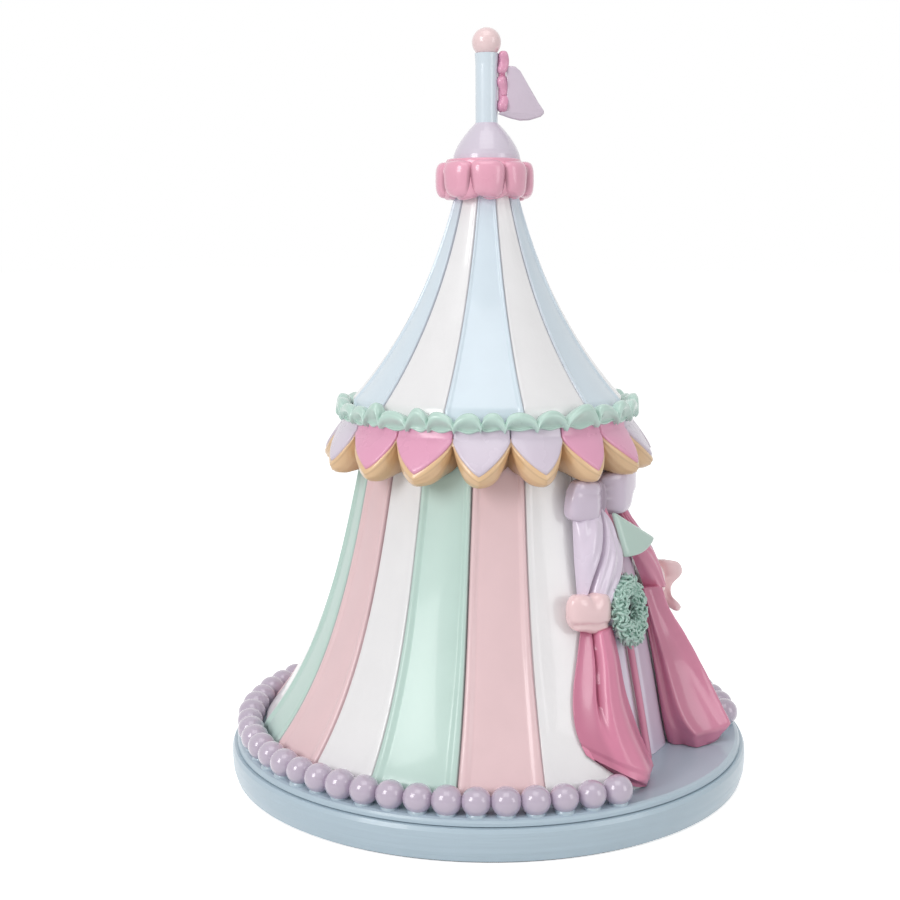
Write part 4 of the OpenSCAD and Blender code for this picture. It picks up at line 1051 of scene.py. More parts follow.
class TENT_OT_flag(bpy.types.Operator):
    """Builds the flag and the gathered ruffle that joins it to the pole"""

    bl_idname = "tent.flag"
    bl_label = "Flag"

    def execute(self, context):
        turn = radians(34)
        root = 5.6
        thick = 1.5
        # Outline as (distance from the pole, height), clockwise from the tail that meets the pole
        outline = [
            (3.2, 189.4), (5.2, 190.3), (root, 196), (root, 202.3), (6.6, 202.7), (8.1, 202.5),
            (9.5, 201.3), (12, 197), (14.5, 192.7), (16.1, 190.3), (16.2, 189.5), (15.3, 188.6),
            (12.1, 187.7), (9.4, 187.6), (6.8, 188.2),
        ]
        middle_x = sum(p[0] for p in outline) / len(outline)
        middle_z = sum(p[1] for p in outline) / len(outline)
        sections = []
        for offset, inset in ((-1, 0.55), (-0.8, 0.2), (-0.35, 0), (0.35, 0), (0.8, 0.2), (1, 0.55)):
            ring = []
            for x, z in outline:
                away = Vector((x - middle_x, z - middle_z)).normalized()
                ring.append((x - away.x * inset, z - away.y * inset, offset * thick / 2))
            sections.append(ring)
        swing = Matrix.Rotation(turn, 3, "Z")

        def placed(x, z, side):
            wave = 0.5 * sin((x - root) * 0.35)
            return swing @ Vector((side + wave, -x, z))

        rings = [[placed(*p) for p in ring] for ring in sections]
        points, faces = skin(rings)
        piece = make("lilac_flag", points, faces, [resin("flag")], sharp=70)
        seat(piece, "turntable", "flag_lilac", "flag")

        folds = []
        for k, (height, half_z, tilt, wide) in enumerate(
            ((203.5, 3.3, 0.3, 1.5), (197.4, 3.1, -0.35, 1.3), (192.3, 2.6, 0.3, 1.4))
        ):
            points, faces = rounded_block(11, (1.7, wide, half_z), 2.8)
            lean = Euler((tilt * 0.35, 0.0, tilt)).to_matrix()
            shaped = []
            for p in points:
                q = lean @ p
                crease = 0.45 * cos(p.z * 1.2 + k * 2)
                shaped.append(swing @ Vector((q.x + crease, q.y - 4.6 - 0.3 * crease, q.z + height)))
            folds.append(make(f"fold_{k}", shaped, faces, [resin("ruffle")]))
        stem = []
        for z in spaced(outline[1][1], top("flag_hoist") - 0.6, 10):
            stem.append([swing @ Vector((0.8 * cos(t), 1.1 * sin(t) - 4.3, z)) for t in turns(10)])
        folds.append(make("ruffle_stem", *skin(stem), [resin("ruffle")], sharp=60))
        piece = join("flag_ruffle", folds)
        seat(piece, "turntable", "flag_pink", "flag_hoist")
        return {"FINISHED"}


# ---- Beads ----


class TENT_OT_beads(bpy.types.Operator):
    """Sets the beads around the turntable, each on a small blue seat"""

    bl_idname = "tent.beads"
    bl_label = "Beads"

    def execute(self, context):
        count = context.scene.tent_sizes.beads
        ball, faces = rounded_block(9, (BEAD_R, BEAD_R, BEAD_R * 0.97), 2.06)
        template = make("bead_template", ball, faces, [])
        spread = (count, radians(BEAD_FIRST), radians(BEAD_PITCH))
        lilac = resin("bead", gloss=0.2, ripple=0.1, coat=1.0)
        height = PLAT_TOP + BEAD_R - 0.35
        beads = ring_of("bead_ring", template, lilac, *spread, BEAD_RING_R, height, (1, 1.09), 21)
        seat(beads, "turntable", "bead_lilac", "beads")
        profile = [(0.01, -0.3), (2.55, -0.3), (2.5, 0.35), (2.2, 0.75), (1.7, 0.95), (0.01, 1.0)]
        rings = [[Vector((r * cos(t), r * sin(t), z)) for t in turns(16)] for r, z in profile]
        template = make("seat_template", *skin(rings), [], sharp=60)
        blue = resin("base", gloss=0.3)
        radius = BEAD_RING_R + 0.35
        seats = ring_of("bead_seats", template, blue, *spread, radius, PLAT_TOP, (0.92, 1.08), 5)
        seat(seats, "turntable", "base_blue")
        return {"FINISHED"}


# ---- Doorway ----


def cloth(name, side, levels, section, materials, slot_of=lambda i: 0, painted_shade_of=lambda s, t: 0.0):
    """A draped solid through closed sections. Each point has an angle from the doorway, a radius
    and, where it leaves its level, a height."""
    rings = []
    dark = []
    count = 0
    for j, z in enumerate(levels):
        ring = section(z, j / (len(levels) - 1))
        count = len(ring)
        rings.append([at(p[1], side * p[0], p[2] if len(p) > 2 else z) for p in ring])
        # Painted shade for each point
        dark += [painted_shade_of(i / count, j / (len(levels) - 1)) for i in range(count)]
    points, faces = skin(rings)
    slots = [slot_of(min(face) % count) for face in faces]
    return make(name, points, faces, materials, slots, dark)


class TENT_OT_flaps(bpy.types.Operator):
    """Builds the two door flaps, softly folded, and the pink edge down the slit between them"""

    bl_idname = "tent.flaps"
    bl_label = "Door flaps"

    def execute(self, context):
        trim_half = 1.6
        for name, node, a0, a1 in (
            ("flap_left", "door_flap_left", -DOOR_HALF + 0.6, -trim_half - 0.8),
            ("flap_right", "door_flap_right", trim_half + 0.1, DOOR_HALF - 0.6),
        ):
            levels = spaced(PLAT_TOP + 0.1, FLAP_TOP, 24)

            def section(z, t, a0=a0, a1=a1):
                front = []
                for s in spaced(0, 1, 20):
                    edge = 1 - (2 * s - 1) ** 8
                    fold = 0.5 * cos(s * 9 + 1.5 * wobble(z * 0.03, a0)) * (0.4 + 0.6 * t)
                    front.append((mix(a0, a1, s), door_r(z) + 0.4 + (1.1 + 0.5 * fold) * edge))
                back = [(a, door_r(z) + 0.1) for a in spaced(a1, a0, 4)]
                return front + back

            piece = cloth(name, 1, levels, section, [resin("drape")])
            seat(piece, "turntable", "flap_lilac", node)

        levels = spaced(PLAT_TOP + 0.1, FLAP_TOP, 40)

        def trim(z, t):
            sway = 0.35 * wobble(z * 0.07, 2.2)
            ring = []
            for q in turns(12):
                across = trim_half * 0.78 * cos(q)
                out = 0.95 * sin(q)
                ring.append((across + sway * 0.5, door_r(z) + 1.3 + out + 0.2 * sway))
            return ring

        piece = cloth("slit_trim", 1, levels, trim, [resin("curtain")])
        seat(piece, "turntable", "trim_pink", "door_trim")
        return {"FINISHED"}


DRAPE_LOW = TIE_Z - 0.5
DRAPE_HIGH = BOW_Z - 2
SKIRT_HIGH = TIE_Z - 5.3

# The near and far edges of the upper curtains, as (height, angle): they sweep back to the tie-backs
DRAPE_NEAR = {
    -1: [(DRAPE_LOW, 11.5), (58, 9), (61.5, 5.8), (65, 3.4), (69, 2), (74, 2.8), (DRAPE_HIGH, 5)],
    1: [(DRAPE_LOW, 17.5), (61, 13.5), (66, 9.5), (72, 6), (DRAPE_HIGH, 3)],
}
DRAPE_FAR = {
    -1: [(DRAPE_LOW, 24), (70, 23.4), (DRAPE_HIGH, 22)],
    1: [(DRAPE_LOW, 27), (66, 24.5), (72, 18), (78, 11), (DRAPE_HIGH, 9)],
}
# How far their folds stand off at the fullest, as (height, distance)
DRAPE_FULL = {
    -1: [(DRAPE_LOW, 3.4), (70, 4.2), (77, 3), (DRAPE_HIGH, 1)],
    1: [(DRAPE_LOW, 5.2), (66, 4.8), (72, 3.2), (DRAPE_HIGH, 1)],
}
# Where their deep crease runs, as (height, share of the way from the far edge)
DRAPE_CREASE = [(DRAPE_LOW, 0.1), (65, 0.26), (72, 0.45), (DRAPE_HIGH, 0.78)]

# The near and far edges of the lower curtains, as (height, angle)
SKIRT_NEAR = [
    (PLAT_TOP, 12.6), (14, 11.4), (19, 10.5), (26, 11.2), (34.6, 12.2), (44, 12), (SKIRT_HIGH, 12),
]
SKIRT_FAR = [(PLAT_TOP, 28), (21.4, 31.4), (27.7, 32.6), (35.5, 31.2), (44.7, 27.2), (SKIRT_HIGH, 24.5)]
# How far they stand off the wall at the middle and at the near edge, as (height, distance)
SKIRT_MIDDLE = [(PLAT_TOP, 2.8), (20, 5), (30, 6.2), (42, 6.2), (SKIRT_HIGH, 4.6)]
SKIRT_EDGE = [(PLAT_TOP, -1.8), (19, -2.6), (30, -0.4), (40, 1.4), (SKIRT_HIGH, 2)]


class TENT_OT_drapes(bpy.types.Operator):
    """Builds the upper curtains: folds that fan up from the tie-backs, lined with pink"""

    bl_idname = "tent.drapes"
    bl_label = "Upper curtains"

    def execute(self, context):
        front = 40
        lining = 8
        back = 10
        paints = [resin("drape", gloss=0.26), resin("curtain")]
        for side, name, node in (
            (-1, "curtain_top_left", "drape_left"), (1, "curtain_top_right", "drape_right"),
        ):
            levels = spaced(DRAPE_LOW, DRAPE_HIGH, 36)

            def section(z, t, side=side):
                near = curve(DRAPE_NEAR[side], z)
                far = curve(DRAPE_FAR[side], z)
                crease = curve(DRAPE_CREASE, z)
                base = cloth_r(z)
                ring = []
                for s in spaced(0, 1, front - 1):
                    body = (1 - abs(2 * s - 1) ** 3.2) ** 0.6
                    deep = (2.9 if side < 0 else 1.2) * bell(s - crease, 0.045)
                    second = crease + 0.5 * (1 - crease)
                    soft = 0.9 * smooth((t - 0.35) / 0.4) * bell(s - second, 0.045)
                    ridge = 0.35 * cos((s - crease) * 24) * (1 - t * 0.5)
                    full = curve(DRAPE_FULL[side], z)
                    ring.append((mix(far, near, s), base + 0.8 + (full + ridge) * body - deep - soft))
                edge_r = base + 0.9
                for s in spaced(0, 1, lining + 1)[1:-1]:
                    inward = near + 4.5 * s * smooth(1.2 - t)
                    ring.append((mix(near - 0.25 * sin(pi * s), inward, s), mix(edge_r, base + 0.02, s)))
                return ring + [(a, base) for a in spaced(ring[-1][0], far, back)[1:]]

            def crease_painted_shade(s, t):
                place = s * (front + lining + back) / front
                z = mix(DRAPE_LOW, DRAPE_HIGH, t)
                # Painted shade down the deep crease
                return 0.8 * bell(place - curve(DRAPE_CREASE, z), 0.03)

            def slot_of(i, first_pink=front - 5 if side < 0 else front // 3):
                # The right curtain's lining is turned out over most of its width
                return 1 if first_pink <= i < front + lining else 0

            piece = cloth(name, side, levels, section, paints, slot_of, crease_painted_shade)
            seat(piece, "turntable", "drape_lilac", node)
        return {"FINISHED"}


# Height of each lower curtain's hem, from its far edge at 0 to its near edge at 1
SKIRT_HEM = {
    -1: [(0, 21.5), (0.2, 18.3), (0.45, 14.6), (0.7, 12.2), (1, PLAT_TOP + 0.15)],
    1: [(0, 27), (0.15, 21.4), (0.35, 15.4), (0.6, 12), (1, PLAT_TOP + 0.15)],
}
# Share of the way across at which its near edge starts to roll in
SKIRT_ROLL = 0.89


def skirt_hem(side, s):
    """Height of a lower curtain's hem at s across it."""
    return curve(SKIRT_HEM[side], s)


def skirt_slit(t):
    """Where the slit between two folds of a lower curtain runs, at t from the hem to the tie-back."""
    return 0.24 + 0.06 * sin(3 * t)


class TENT_OT_skirts(bpy.types.Operator):
    """Builds the lower curtains, which flare from the tie-backs to a slanting double hem"""

    bl_idname = "tent.skirts"
    bl_label = "Lower curtains"

    def execute(self, context):
        front = 44
        lining = 16
        back = 12
        # The left curtain is softly glossy; the right one has a brighter ridge where its fold turns
        pinks = {-1: resin("curtain", gloss=0.3, coat=0.2), 1: resin("curtain", gloss=0.22, coat=0.45)}
        for side, name, node in ((-1, "curtain_left", "skirt_left"), (1, "curtain_right", "skirt_right")):
            high = SKIRT_HIGH if side < 0 else TIE_Z + 0.4

            def section(z, t, side=side, high=high):
                # t runs from the hem at 0 to the tie-back at 1
                ring = []
                for s in spaced(0, 1, front - 1):
                    hem = skirt_hem(side, s)
                    h = mix(hem, high, t)
                    near = curve(SKIRT_NEAR, h)
                    far = curve(SKIRT_FAR, h)
                    wall = wall_r(h)
                    middle = curve(SKIRT_MIDDLE, h) * (1 if side < 0 else 1.08)
                    edge = curve(SKIRT_EDGE, h)
                    a = mix(far, near, s)
                    if s < 0.5:
                        lift = 0.6 + (middle - 0.6) * sin(pi / 2 * smooth(s / 0.5))
                    else:
                        lift = mix(middle, edge, smooth((s - 0.5) / 0.5))
                    slit = skirt_slit(t)
                    depth = (2.4 if side < 0 else 0.6) * smooth((t - 0.2) / 0.35)
                    lift -= depth * bell(s - slit, 0.035)
                    if side > 0:
                        # One sharp fold runs down the right-hand curtain
                        lift += 2.2 * bell(s - mix(0.5, 0.66, t), 0.06) * smooth(t / 0.1)
                    else:
                        lift += 0.3 * bell(s - slit - 0.1, 0.06) * smooth(t / 0.3)
                    if s >= SKIRT_ROLL:
                        lift -= 0.3 * ((s - SKIRT_ROLL) / (1 - SKIRT_ROLL)) ** 2
                    # A step near the hem shows the second layer below the first
                    under = 0.7 * smooth((0.09 - t) / 0.015)
                    ring.append((a, wall + lift - under, h))
                h = mix(skirt_hem(side, 1), high, t)
                near = curve(SKIRT_NEAR, h)
                front_r = ring[-1][1]
                deep_r = flap_r(h) + 0.35
                jamb = DOOR_HALF - 0.5
                for s in spaced(0, 1, lining)[1:]:
                    r = mix(front_r, deep_r, s)
                    hollow = 1.3 * sin(pi * min(1, s * 1.15)) * (0.5 + 0.5 * t)
                    swell = 1.2 * bell(s - 0.75, 0.16) * (1 - 0.5 * t)
                    a = mix(near, mix(jamb, near + 0.8, 0.6), s) + hollow - swell
                    ring.append((min(a, jamb), r, h))
                ring.append((jamb, deep_r, h))
                for s in spaced(0, 1, back - 1):
                    hh = mix(skirt_hem(side, 1 - s), high, t)
                    far = curve(SKIRT_FAR, hh)
                    ring.append((mix(jamb, far, s), wall_r(hh) + 0.25, hh))
                # The near edge is a soft roll, not a fold
                for _ in range(6):
                    for i in range(front - 7, front + 5):
                        beside = zip(ring[i], ring[i - 1], ring[i + 1])
                        ring[i] = tuple(mix(own, (one + other) / 2, 0.6) for own, one, other in beside)
                return ring

            def fold_painted_shade(s, t, side=side):
                place = s * (front + lining + 1 + back) / front
                # Painted shade: down the slit between folds and over the left curtain's outer fold; on the
                # right curtain, over its near part towards the doorway and all behind it
                shadow = 0.75 * smooth((t - 0.2) / 0.3) * bell(place - skirt_slit(t), 0.02)
                outer_fold_shade = 0.4 * (1 - smooth((place - 0.2) / 0.08))
                return shadow + outer_fold_shade if side < 0 else 0.34 * smooth((place - 0.62) / 0.2)

            piece = cloth(name, side, spaced(0, 1, 44), section, [pinks[side]], painted_shade_of=fold_painted_shade)
            seat(piece, "turntable", "curtain_pink", node)
        return {"FINISHED"}


def puff(name, half, power, place, material, cuts=13, crease=None, shadow=None):
    """A plump pad bent round the tent. place is (angle, radius, height); crease moves its points."""
    points, faces = rounded_block(cuts, half, power)
    shaped = []
    a0, r0, z0 = place
    for p in points:
        x, y, z = crease(p) if crease else p
        shaped.append(at(r0 - y, a0 + degrees(x / r0), z0 + z))
    dark = [shadow(p) for p in points] if shadow else None
    return make(name, shaped, faces, [material], None, dark)


class TENT_OT_ties(bpy.types.Operator):
    """Builds the tie-backs: a puffed salmon band around each curtain, with a curled tail"""

    bl_idname = "tent.ties"
    bl_label = "Tie-backs"

    def execute(self, context):
        salmon = resin("salmon", gloss=0.2)
        for side, name, node in ((-1, "tie_back_left", "tie_left"), (1, "tie_back_right", "tie_right")):

            def crease(p, side=side):
                pinch = 0.7 * bell(p.x - side * 0.4, 1.6) * smooth(p.z / 5)
                roll = 0.8 * bell(p.z + 3.1, 0.7) * (1 if p.y < 0 else 0)
                z = p.z - pinch * 1.6 + 0.1 * p.x * side
                wrap = 1.6 * smooth((-side * p.x - 3) / 5)
                return Vector((p.x, p.y + pinch + roll * 0.8 + wrap, z * (1 + 0.05 * cos(p.x))))

            mid_r = cloth_r(TIE_Z) + 3.1
            # The right-hand band is drawn round to the far side of its curtain
            place = (-21.6 if side < 0 else 30, mid_r, TIE_Z - 0.4)
            band = puff(name + "_band", (7.6, 3, 5.5), 2.9, place, salmon, 17, crease)
            parts = [band]
            if side > 0:
                parts.append(self.tail(salmon, side))
            piece = join(name, parts)
            seat(piece, "turntable", "tie_salmon", node)
        return {"FINISHED"}

    def tail(self, material, side):
        """The end of the right-hand tie, curling away from the tent"""
        # Height, inner and outer radius, angle and how far the ribbon's edges curl apart
        route = [
            (61.4, 50.2, 52.4, 31, 0), (60.4, 49, 55.9, 31.5, 1.2), (58.2, 48.4, 57.4, 32.4, 1.8),
            (56, 49.2, 57.2, 33.4, 1), (53.6, 50.4, 54.4, 33, -0.6), (50.8, 51.4, 54.2, 32.2, -1.2),
            (48.6, 52, 56, 32.4, -0.4), (46.6, 53.4, 57.4, 33.2, 0.8), (45.6, 55, 57, 33.6, 0.4),
        ]
        tables = [list(enumerate(column)) for column in zip(*route)]
        rings = []
        for t in spaced(0, 1, 32):
            x = t * (len(route) - 1)
            z, inner, outer, a, curl = (curve(table, x) for table in tables)
            ring = []
            for q in turns(16):
                r = mix(inner, outer, 0.5 + 0.5 * cos(q))
                bend = curl * cos(q) ** 2
                ring.append(at(r, side * a, z) + at(0.95 * sin(q) + bend, side * a + 90, 0))
            rings.append(ring)
        points, faces = skin(rings)
        return make("tail", points, faces, [material], sharp=70)


class TENT_OT_bow(bpy.types.Operator):
    """Builds the bow above the doorway: two plump loops drawn in to a creased knot"""

    bl_idname = "tent.bow"
    bl_label = "Bow"

    def execute(self, context):
        lilac = resin("bow", gloss=0.2)
        mid_r = cloth_r(BOW_Z) + 1.4

        def left(p):
            # Gathered where it meets the knot, wide and drooping at its free end
            gather = smooth((p.x - 1.5) / 5)
            x = p.x + 0.1 * min(0.0, p.z) * smooth(-p.x / 5) + 0.45 * gather * cos(p.z * 2.3)
            crease = 0.35 * gather * cos(p.z * 2.3) + 0.25 * bell(p.z - 2.4, 0.6)
            z = p.z * (0.92 - 0.008 * p.x) - 0.13 * p.x
            x += 0.28 * max(0.0, p.z) * smooth(-p.x / 5)
            return Vector((x, p.y * mix(1, 0.35, gather) + crease, z))

        def right(p):
            # Its side towards the knot slopes down into the crease
            slope = 3.2 * (1 - smooth((p.x + 9) / 7.5))
            gather = 0.3 * cos(p.z * 1.9) * (1 - smooth((p.x + 9) / 5))
            low_out = 0.9 * smooth(-p.z / 4) * smooth((p.x - 2) / 6)
            lift = 1.9 * smooth(-p.z / 5) * smooth((p.x + 2) / 10)
            return Vector((p.x, p.y + slope + gather + low_out, p.z * (1 + 0.02 * p.x) + 0.06 * p.x + lift))

        # Painted shade where each loop is drawn into the knot
        def painted_shade_left(p):
            return 0.5 * smooth((p.x - 3.8) / 2)

        def painted_shade_right(p):
            return 0.85 * (1 - smooth((p.x + 8.6) / 5.5))

        for name, node, half, power, angle, height, shape, shadow in (
            ("bow_loop_left", "bow_left", (6.1, 2.7, 6), 4.4, -16.7, BOW_Z + 0.6, left, painted_shade_left),
            ("bow_loop_right", "bow_right", (9.2, 2.7, 6.5), 4.6, 5.6, BOW_Z + 1.4, right, painted_shade_right),
        ):
            piece = puff(name, half, power, (angle, mid_r, height), lilac, 21, shape, shadow)
            seat(piece, "turntable", "bow_lilac", node)

        def knot(p):
            return Vector((p.x, p.y + 0.4 * cos(p.x * 2.6), p.z))

        # The knot, set back between the loops, is painted in shade all over
        place = (-8.2, mid_r - 1.1, BOW_Z + 0.4)
        piece = puff("bow_middle", (2.2, 1.8, 4.8), 2.6, place, lilac, 13, knot, lambda p: 0.8)
        seat(piece, "turntable", "bow_lilac", "bow_knot")
        return {"FINISHED"}


class TENT_OT_pennant(bpy.types.Operator):
    """Builds the three-cornered pennant that hangs from the bow"""

    bl_idname = "tent.pennant"
    bl_label = "Pennant"

    def execute(self, context):
        # Corners, by radius, angle and height: the one under the knot, then the two lower ones
        tip = at(44, -5, 80.6)
        left = at(47.4, -3.8, 67.6)
        right = at(50.5, 13, 71.2)
        out = at(1, 4, 0)
        sheets = []
        for face_side in (1, -1):
            grid = []
            for t in spaced(0, 1, 16):
                row = []
                for s in spaced(0, 1, 14):
                    bottom = left.lerp(right, s) + Vector((0, 0, -1.1 * sin(pi * s)))
                    p = tip.lerp(bottom, mix(0.04, 1, t))
                    edge = min(s, 1 - s) * 2 * t
                    rim = min(1.0, min(edge * 6, (1 - t) * 9 + 0.02, t * 8 + 0.2))
                    puffed = 0.35 + 0.65 * sqrt(max(0.0, 1 - (1 - rim) ** 2))
                    bow = 1.1 * sin(pi * s) * t
                    row.append(p + out * (bow + face_side * 0.85 * puffed))
                grid.append(row)
            sheets.append(grid)
        points, faces = skin([face + back[::-1] for face, back in zip(*sheets)])
        piece = make("pennant", points, faces, [resin("pennant", gloss=0.24)])
        finish_smooth(piece, 1)
        seat(piece, "turntable", "pennant_mint", "door_pennant")
        return {"FINISHED"}


class TENT_OT_wreath(bpy.types.Operator):
    """Strews curled strands over a ring to make the wreath on the door"""

    bl_idname = "tent.wreath"
    bl_label = "Wreath"

    def execute(self, context):
        # It hangs a little left of the door's middle
        middle_x = -3.3
        middle_y = (low("wreath", 1) + top("wreath", 1)) / 2 + 1.2
        middle_z = (low("wreath") + top("wreath")) / 2
        lean = atan((DOOR_FOOT_R - door_r(WALL_TOP)) / (WALL_TOP - PLAT_TOP))
        tilt = pi / 2 - lean
        turn = radians(8)
        ring_r = 6.95
        tube_r = 2.15
        tube_depth = 1.3
        strand = []
        for t in spaced(0, 1, 8):
            spin = tau * 0.7 * (t - 0.5)
            centre = Vector((1.05 * sin(spin), 1.05 * cos(spin) - 0.6, 0.9 * (t - 0.5)))
            thick = 0.48 * sqrt(max(0.05, sin(pi * mix(0.06, 0.94, t))))
            frame_x = Vector((cos(spin), -sin(spin), 0.5)).normalized()
            side = frame_x.cross(Vector((0, 0, 1))).normalized()
            up = frame_x.cross(side)
            strand.append([centre + thick * (cos(q) * side + sin(q) * up) for q in turns(6)])
        template = make("strand_template", *skin(strand), [])
        mint = resin("wreath", gloss=0.3, ripple=0.05)
        curls = grow(
            "wreath_curls", wreath_tree("wreath_strands"),
            {
                "Template": template, "Count": context.scene.tent_sizes.curls, "Ring radius": ring_r * MM,
                "Tube radius": tube_r * MM, "Tube depth": tube_depth * MM, "Seed": 3, "Tilt": tilt,
                "Turn": turn, "Middle": (middle_x * MM, middle_y * MM, middle_z * MM), "Material": mint,
            },
        )
        lie = Matrix.Rotation(turn, 3, "Z") @ Matrix.Rotation(tilt, 3, "X")
        core = []
        for t in turns(36):
            ring = []
            for q in turns(12):
                r = ring_r + tube_r * cos(q)
                p = lie @ Vector((r * cos(t), r * sin(t), tube_depth * sin(q)))
                ring.append(p + Vector((middle_x, middle_y, middle_z)))
            core.append(ring)
        # The core under the curls is painted in shade all over, for the shade in the gaps between the curls
        inner = resin("wreath", gloss=0.45, dark=0.5)
        points, faces = skin(core + [core[0]], caps=False)
        shadow = [0.45] * len(points)
        body = make("wreath_core", points, faces, [inner], None, shadow)
        piece = join("wreath_of_curls", [curls, body])
        seat(piece, "turntable", "wreath_mint", "wreath")
        return {"FINISHED"}


# ---- Finishes of the solids that keep their shape ----


class TENT_OT_finishes(bpy.types.Operator):
    """Gives the solids that keep their shape their own materials"""

    bl_idname = "tent.finishes"
    bl_label = "Finishes"

    def execute(self, context):
        paints = context.scene.tent_paints
        finishes = {
            "base_blue": ridged_resin("painted_resin_base_ridged", tuple(paints.base)),
            "cap_lilac": resin("cap", gloss=0.24),
            "pole_blue": resin("pole", gloss=0.2),
            "ball_pink": resin("ball", gloss=0.2),
            # Pressed wool felt: matt, with short fibres
            "felt": plain("wool_felt", "#4a4a4d", 0.9, scale=1500, relief=0.8),
            # Natural nylon, moulded: waxy and slightly clouded
            "nylon": plain("natural_nylon", "#e4e2da", 0.4, ior=1.53),
            # Moulded ABS, black, with a fine spark-eroded texture
            "black_plastic": plain("black_abs", "#232325", 0.45, ior=1.54, scale=2000),
            # Moulded acetal: white, smooth and a little waxy
            "white_plastic": plain("white_acetal", "#e6e6e2", 0.35, ior=1.48),
            # Drawn and turned steel, bright
            "steel": plain("bright_steel", "#b9bbbf", 0.28, 1.0, scale=900),
            # Steel under polished nickel plate: almost a mirror, a little warm
            "plated_steel": plain("nickel_plated_steel", "#cfcdc6", 0.14, 1.0, scale=300, relief=0.03),
            # Turned brass: yellow, with the fine marks of the tool
            "brass": plain("turned_brass", "#d9b25f", 0.24, 1.0, scale=900),
            # Die-cast zinc alloy: grey and faintly grainy
            "zinc": plain("die_cast_zinc", "#9b9da1", 0.42, 1.0, scale=700, relief=0.3),
        }
        slots = {part["node"]: part["material_slot"] for part in frame["record"]["subparts"]}
        for name, node in frame["nodes"].items():
            finish = finishes.get(slots[name])
            if finish is None:
                continue
            for slot in node.material_slots:
                slot.material = finish
        return {"FINISHED"}


# ---- Stage ----

WHITE = (1, 1, 1, 1)
# Focal length, in pixels of a square frame this wide
FOCUS = 1415.79
FRAME_W = 900
# The camera's place in metres, and the directions of its view and of its right side
CAMERA_PLACE = (-0.33973, -0.22915, 0.154071)
CAMERA_FORWARD = (0.805232, 0.574683, -0.146091)
CAMERA_RIGHT = (0.580287, -0.814396, -0.005145)


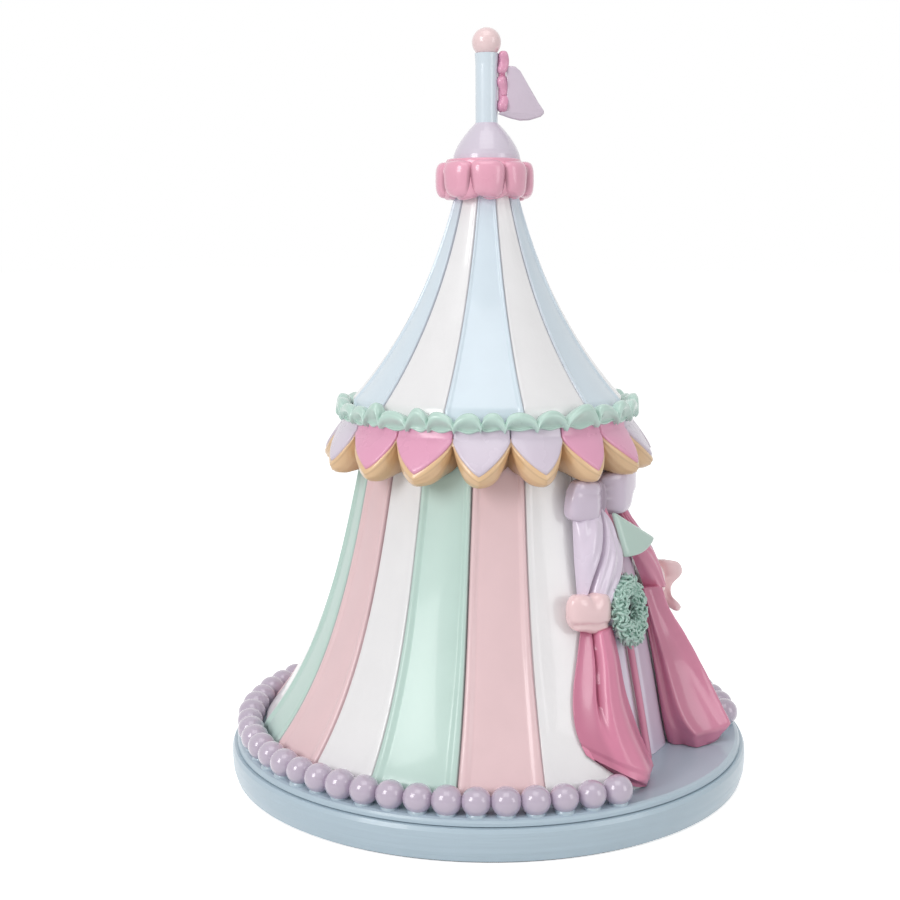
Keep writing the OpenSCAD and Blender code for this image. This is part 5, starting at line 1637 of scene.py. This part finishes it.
class TENT_OT_stage(bpy.types.Operator):
    """Sets the floor, the lights, the world and the camera"""

    bl_idname = "tent.stage"
    bl_label = "Stage"

    def execute(self, context):
        scene = context.scene
        scene.view_settings.view_transform = "Standard"
        self.floor()
        self.lights(scene)
        self.camera(scene)
        return {"FINISHED"}

    def seen(self, tree):
        """1 for rays from the eye or a reflection, else 0"""
        rays = add(tree, "ShaderNodeLightPath").outputs
        either = {0: rays["Is Camera Ray"], 1: rays["Is Glossy Ray"]}
        return add(tree, "ShaderNodeMath", either, operation="MAXIMUM")

    def floor(self):
        size = 6.0
        corners = [(-size, -size, 0), (size, -size, 0), (size, size, 0), (-size, size, 0)]
        mesh = bpy.data.meshes.new("floor")
        mesh.from_pydata(corners, [], [(0, 1, 2, 3)])
        floor = link("floor", mesh)
        material = bpy.data.materials.new("studio_floor")
        tree = emptied_tree(material)
        # Seen straight on or in a reflection the floor is plain white; other light falls on paper grey
        paper = add(tree, "ShaderNodeBsdfDiffuse", {"Color": (0.8, 0.8, 0.8, 1)})
        white = add(tree, "ShaderNodeEmission", {"Color": WHITE, "Strength": 0.69})
        glow = add(tree, "ShaderNodeAddShader", {0: paper, 1: white})
        shown = add(tree, "ShaderNodeMixShader", {0: self.seen(tree), 1: paper, 2: glow})
        add(tree, "ShaderNodeOutputMaterial", {"Surface": shown})
        mesh.materials.append(material)

    def lights(self, scene):
        world = bpy.data.worlds.new("studio")
        scene.world = world
        tree = emptied_tree(world)
        dim = add(tree, "ShaderNodeBackground", {"Color": WHITE, "Strength": 0.42})
        bright = add(tree, "ShaderNodeBackground", {"Color": WHITE, "Strength": 1.0})
        shown = add(tree, "ShaderNodeMixShader", {0: self.seen(tree), 1: dim, 2: bright})
        add(tree, "ShaderNodeOutputWorld", {"Surface": shown})
        aim = Vector((0, 0, 0.1))
        # Soft boxes: a large one at the camera's left, a lower one at its right, one overhead
        for name, azimuth, height, distance, width, tall, power in (
            ("soft_box_left", -100, 0.55, 0.9, 0.36, 0.5, 3.6),
            ("soft_box_right", 0, 0.4, 1.0, 0.4, 0.6, 1.6),
            ("soft_box_top", FRONT, 1.1, 0.35, 0.7, 0.7, 2.4),
        ):
            t = radians(azimuth)
            place = Vector((distance * sin(t), -distance * cos(t), height))
            lamp = bpy.data.lights.new(name, "AREA")
            lamp.shape = "RECTANGLE"
            lamp.size = width
            lamp.size_y = tall
            lamp.energy = power
            holder = bpy.data.objects.new(name, lamp)
            holder.location = place
            holder.rotation_euler = (aim - place).to_track_quat("-Z", "Y").to_euler()
            scene.collection.objects.link(holder)

    def camera(self, scene):
        camera = bpy.data.cameras.new("camera")
        camera.sensor_width = 36
        camera.lens = camera.sensor_width * FOCUS / FRAME_W
        camera.clip_start = 0.01
        holder = bpy.data.objects.new("camera", camera)
        forward = Vector(CAMERA_FORWARD).normalized()
        right = Vector(CAMERA_RIGHT).normalized()
        up = right.cross(forward).normalized()
        axes = Matrix((right, up, -forward)).transposed()
        holder.matrix_world = Matrix.Translation(Vector(CAMERA_PLACE)) @ axes.to_4x4()
        scene.collection.objects.link(holder)
        scene.camera = holder


class TENT_PT_panel(bpy.types.Panel):
    """Lists the tent's pieces in the sidebar"""

    bl_label = "Circus tent"
    bl_idname = "TENT_PT_panel"
    bl_space_type = "VIEW_3D"
    bl_region_type = "UI"
    bl_category = "Tent"

    def draw(self, context):
        layout = self.layout
        for group in (context.scene.tent_sizes, context.scene.tent_paints):
            box = layout.box()
            for name in group.bl_rna.properties.keys():
                if name not in ("rna_type", "name"):
                    box.prop(group, name)
        for operator in OPERATORS:
            layout.operator(operator.bl_idname)


OPERATORS = (
    TENT_OT_finishes, TENT_OT_wall, TENT_OT_roof, TENT_OT_valance, TENT_OT_petals, TENT_OT_frill,
    TENT_OT_collar, TENT_OT_flag, TENT_OT_beads, TENT_OT_flaps, TENT_OT_drapes, TENT_OT_skirts,
    TENT_OT_ties, TENT_OT_bow, TENT_OT_pennant, TENT_OT_wreath, TENT_OT_stage,
)
CLASSES = (TentPaints, TentSizes, *OPERATORS, TENT_PT_panel)


def register():
    for cls in CLASSES:
        bpy.utils.register_class(cls)
    bpy.types.Scene.tent_paints = PointerProperty(type=TentPaints)
    bpy.types.Scene.tent_sizes = PointerProperty(type=TentSizes)


def unregister():
    del bpy.types.Scene.tent_sizes
    del bpy.types.Scene.tent_paints
    for cls in reversed(CLASSES):
        bpy.utils.unregister_class(cls)


def main():
    register()
    for operator in OPERATORS:
        group, name = operator.bl_idname.split(".")
        getattr(getattr(bpy.ops, group), name)()


if __name__ == "__main__":
    main()
